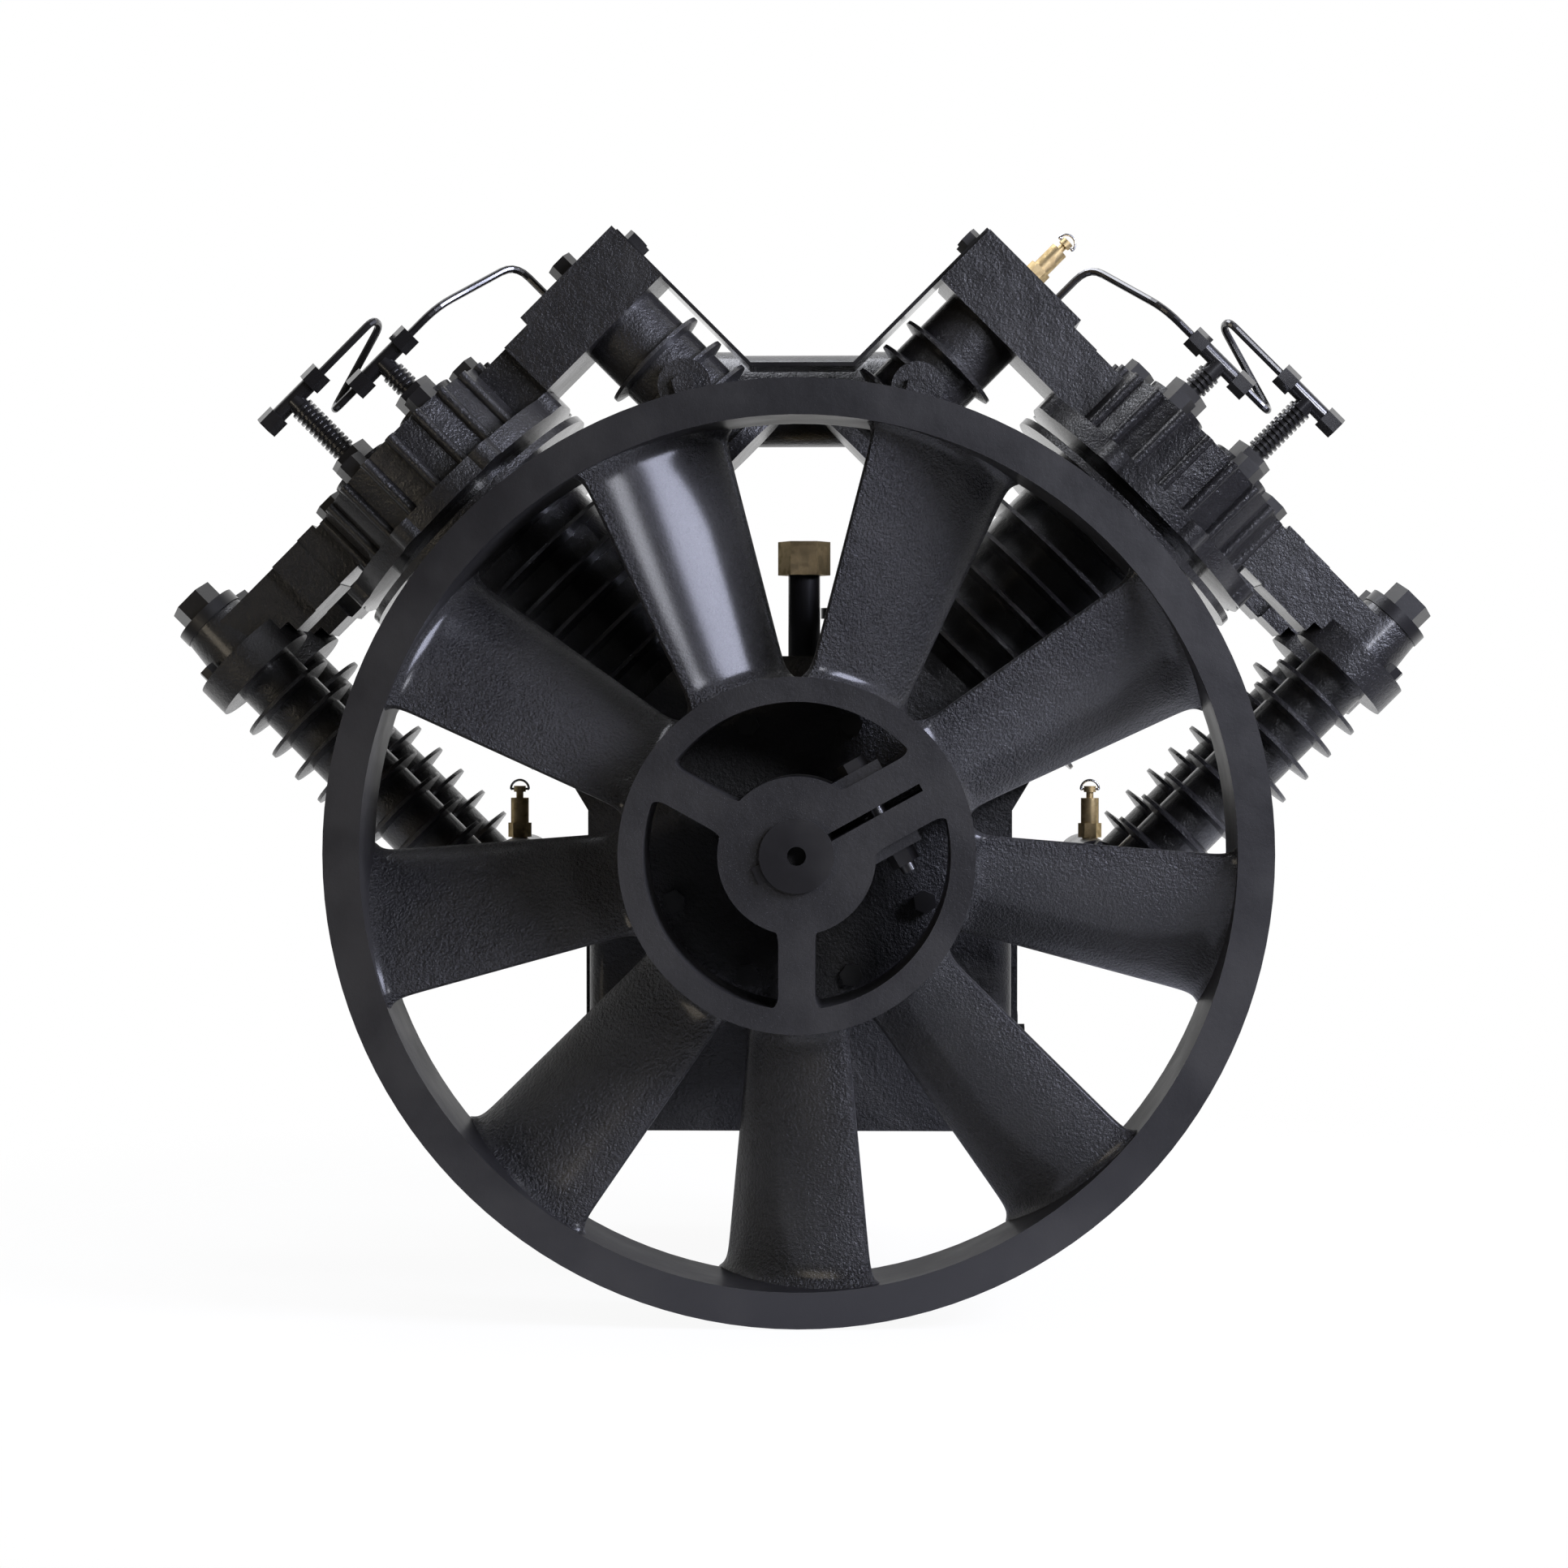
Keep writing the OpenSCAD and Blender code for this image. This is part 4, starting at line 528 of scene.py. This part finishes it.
def pocket(shape, first, last, front, depth):
    """The opening between two webs, its four corners filleted."""
    outline = []
    for radius, order in ((ring_inner, 1), (boss_radius, -1)):
        begin = math.radians(first[0]) + math.asin(first[1] / radius)
        last_angle = last[0] % 360 + (360 if last[0] < first[0] else 0)
        finish = math.radians(last_angle) - math.asin(last[1] / radius)
        steps = [begin + (finish - begin) * step / 40 for step in range(41)][::order]
        outline += [(radius * math.cos(angle), radius * math.sin(angle)) for angle in steps]
    before = len(shape.verts)
    ring = [shape.verts.new((x, y, 0)) for x, y in outline]
    shape.faces.new(ring)
    corners = [ring[0], ring[40], ring[41], ring[81]]
    bmesh.ops.bevel(
        shape, geom=corners, offset=pocket_fillet, offset_type="OFFSET", segments=7, profile=0.5,
        affect="VERTICES", clamp_overlap=False, material=-1,
    )
    shape.faces.ensure_lookup_table()
    lifted = bmesh.ops.extrude_face_region(shape, geom=[shape.faces[-1]])["geom"]
    raised = [part for part in lifted if isinstance(part, bmesh.types.BMVert)]
    bmesh.ops.translate(shape, verts=raised, vec=(0, 0, -depth))
    stand(shape, new_verts(shape, before), front)


def carve(base, tools):
    """The base shape after each (operation, shape) in turn, as one mesh."""
    made = []
    for shape in [base] + [tool for _, tool in tools]:
        bmesh.ops.recalc_face_normals(shape, faces=shape.faces)
        mesh = bpy.data.meshes.new("blank")
        shape.to_mesh(mesh)
        shape.free()
        made.append(bpy.data.objects.new("blank", mesh))
        scene.collection.objects.link(made[-1])
    for (operation, _), tool in zip(tools, made[1:]):
        step = made[0].modifiers.new(operation, "BOOLEAN")
        step.operation = operation
        step.solver = "EXACT"
        step.object = tool
    carved = bmesh.new()
    carved.from_object(made[0], bpy.context.evaluated_depsgraph_get())
    for thing in made:
        bpy.data.objects.remove(thing)
    return carved


hub_blank = bmesh.new()
drum(hub_blank, ring_outer, hub_front, web_depth)
pockets = bmesh.new()
for number, web in enumerate(webs):
    pocket(pockets, web, webs[(number + 1) % 3], hub_front - overrun, ring_depth + 2 * overrun)
lug = bmesh.new()
bar(lug, webs[0][0], lug_reach, lug_half_width, hub_front + lug_sunk, lug_depth)
boss = bmesh.new()
drum(boss, boss_radius, hub_front, boss_depth)
rear_ring = bmesh.new()
drum(rear_ring, ring_outer, hub_front + web_depth - seam, ring_depth - web_depth + seam)
rear_pocket = bmesh.new()
drum(rear_pocket, ring_inner, hub_front + web_depth + pocket_skin, ring_depth)
cuts = bmesh.new()
drum(cuts, bore_radius, hub_front - overrun, through_depth)
slot_cut = bmesh.new()
bar(slot_cut, webs[0][0], slot_reach, slot_half_width, hub_front - overrun, through_depth)
key_cut = bmesh.new()
bar(key_cut, key_angle, key_reach, key_half_width, hub_front - overrun, through_depth)
hub = carve(
    hub_blank,
    [
        ("UNION", rear_ring),
        ("DIFFERENCE", rear_pocket),
        ("DIFFERENCE", pockets),
        ("UNION", lug),
        ("UNION", boss),
        ("DIFFERENCE", cuts),
        ("DIFFERENCE", slot_cut),
        ("DIFFERENCE", key_cut),
    ],
)
hub_piece = piece("flywheel_hub_cast", hub, "rotor", hub_paint)
edge_radius = 0.0012
hub_edges = hub_piece.modifiers.new("soft_edges", "BEVEL")
hub_edges.width = edge_radius
hub_edges.segments = 2
hub_edges.limit_method = "ANGLE"
hub_edges.angle_limit = math.radians(50)
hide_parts("flywheel_hub")


# Fan blades: nine thin cast paddles, bowed and pitched to draw air through the wheel.
# They swell into the hub ring and the rim with the fillets of the pattern, and keep the sand's grain.
blade_paint = black_enamel("enamel_on_blades", 1.6, 1.0, 0.36, coat=0.3, bump=0.0026)
blade_count = 9
blade_roots = (0.1325, 0.328)
blade_widths = (0.074, 0.112)
blade_front = -0.309
blade_back = -0.236
blade_bow = 0.19
blade_thickness = 0.0085
fillet = 0.010
root_bury = 0.002
fillet_fade_share = 0.45
side_swell_share = 0.5
face_swell_share = 0.6
edge_thinning_share = 0.35
blade_axial = blade_back - blade_front
blade_pitch = math.atan2(blade_axial, blade_widths[1])
blade_sag = blade_bow - math.sqrt(blade_bow**2 - (blade_axial**2 + blade_widths[1] ** 2) / 4)


def blade_point(across, through, along):
    """A point of the upright blade; across and through run from -1 to 1, along from 0 to 1."""
    inner, outer = blade_roots
    reach = inner - root_bury + along * (outer - inner + 2 * root_bury)
    to_root = min(reach - inner, outer - reach)
    swell = fillet * math.exp(-max(to_root, 0) / (fillet_fade_share * fillet))
    width = blade_widths[0] + (blade_widths[1] - blade_widths[0]) * (reach - inner) / (outer - inner)
    sideways = across * (width / 2 + side_swell_share * swell)
    chord = sideways / math.cos(blade_pitch)
    for _ in range(3):
        bowed = blade_bow - math.sqrt(blade_bow**2 - chord**2) - blade_sag / 2
        chord = (sideways + bowed * math.sin(blade_pitch)) / math.cos(blade_pitch)
    half_thickness = blade_thickness / 2 + face_swell_share * swell
    bowed += through * half_thickness * (1 - edge_thinning_share * across**4)
    x = chord * math.cos(blade_pitch) - bowed * math.sin(blade_pitch)
    y = chord * math.sin(blade_pitch) + bowed * math.cos(blade_pitch)
    return Vector((x, y + (blade_front + blade_back) / 2, math.sqrt(reach**2 - x**2)))


blades = bmesh.new()
for number in range(blade_count):
    before = len(blades.verts)
    bmesh.ops.create_grid(blades, x_segments=18, y_segments=34, size=1)
    blades.verts.ensure_lookup_table()
    sheet = list({face for vert in blades.verts[before:] for face in vert.link_faces})
    lifted = bmesh.ops.extrude_face_region(blades, geom=sheet)["geom"]
    for vert in [part for part in lifted if isinstance(part, bmesh.types.BMVert)]:
        vert.co.z = 1
    blades.verts.ensure_lookup_table()
    turn = Matrix.Rotation(math.radians(180 - 360 / blade_count * number), 3, "Y")
    for vert in blades.verts[before:]:
        through = 1 if vert.co.z > 0.5 else -1
        # rows crowd towards both roots, where the fillets need them
        along = 0.5 + 0.5 * math.sin(vert.co.y * math.pi / 2)
        vert.co = turn @ blade_point(vert.co.x, through, along) + Vector((0, 0, shaft_height))
fan = piece("fan_blades_cast", blades, "rotor", blade_paint)
rounding = fan.modifiers.new("rounded_edges", "SUBSURF")
rounding.levels = rounding.render_levels = 1
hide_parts("fan_blades")
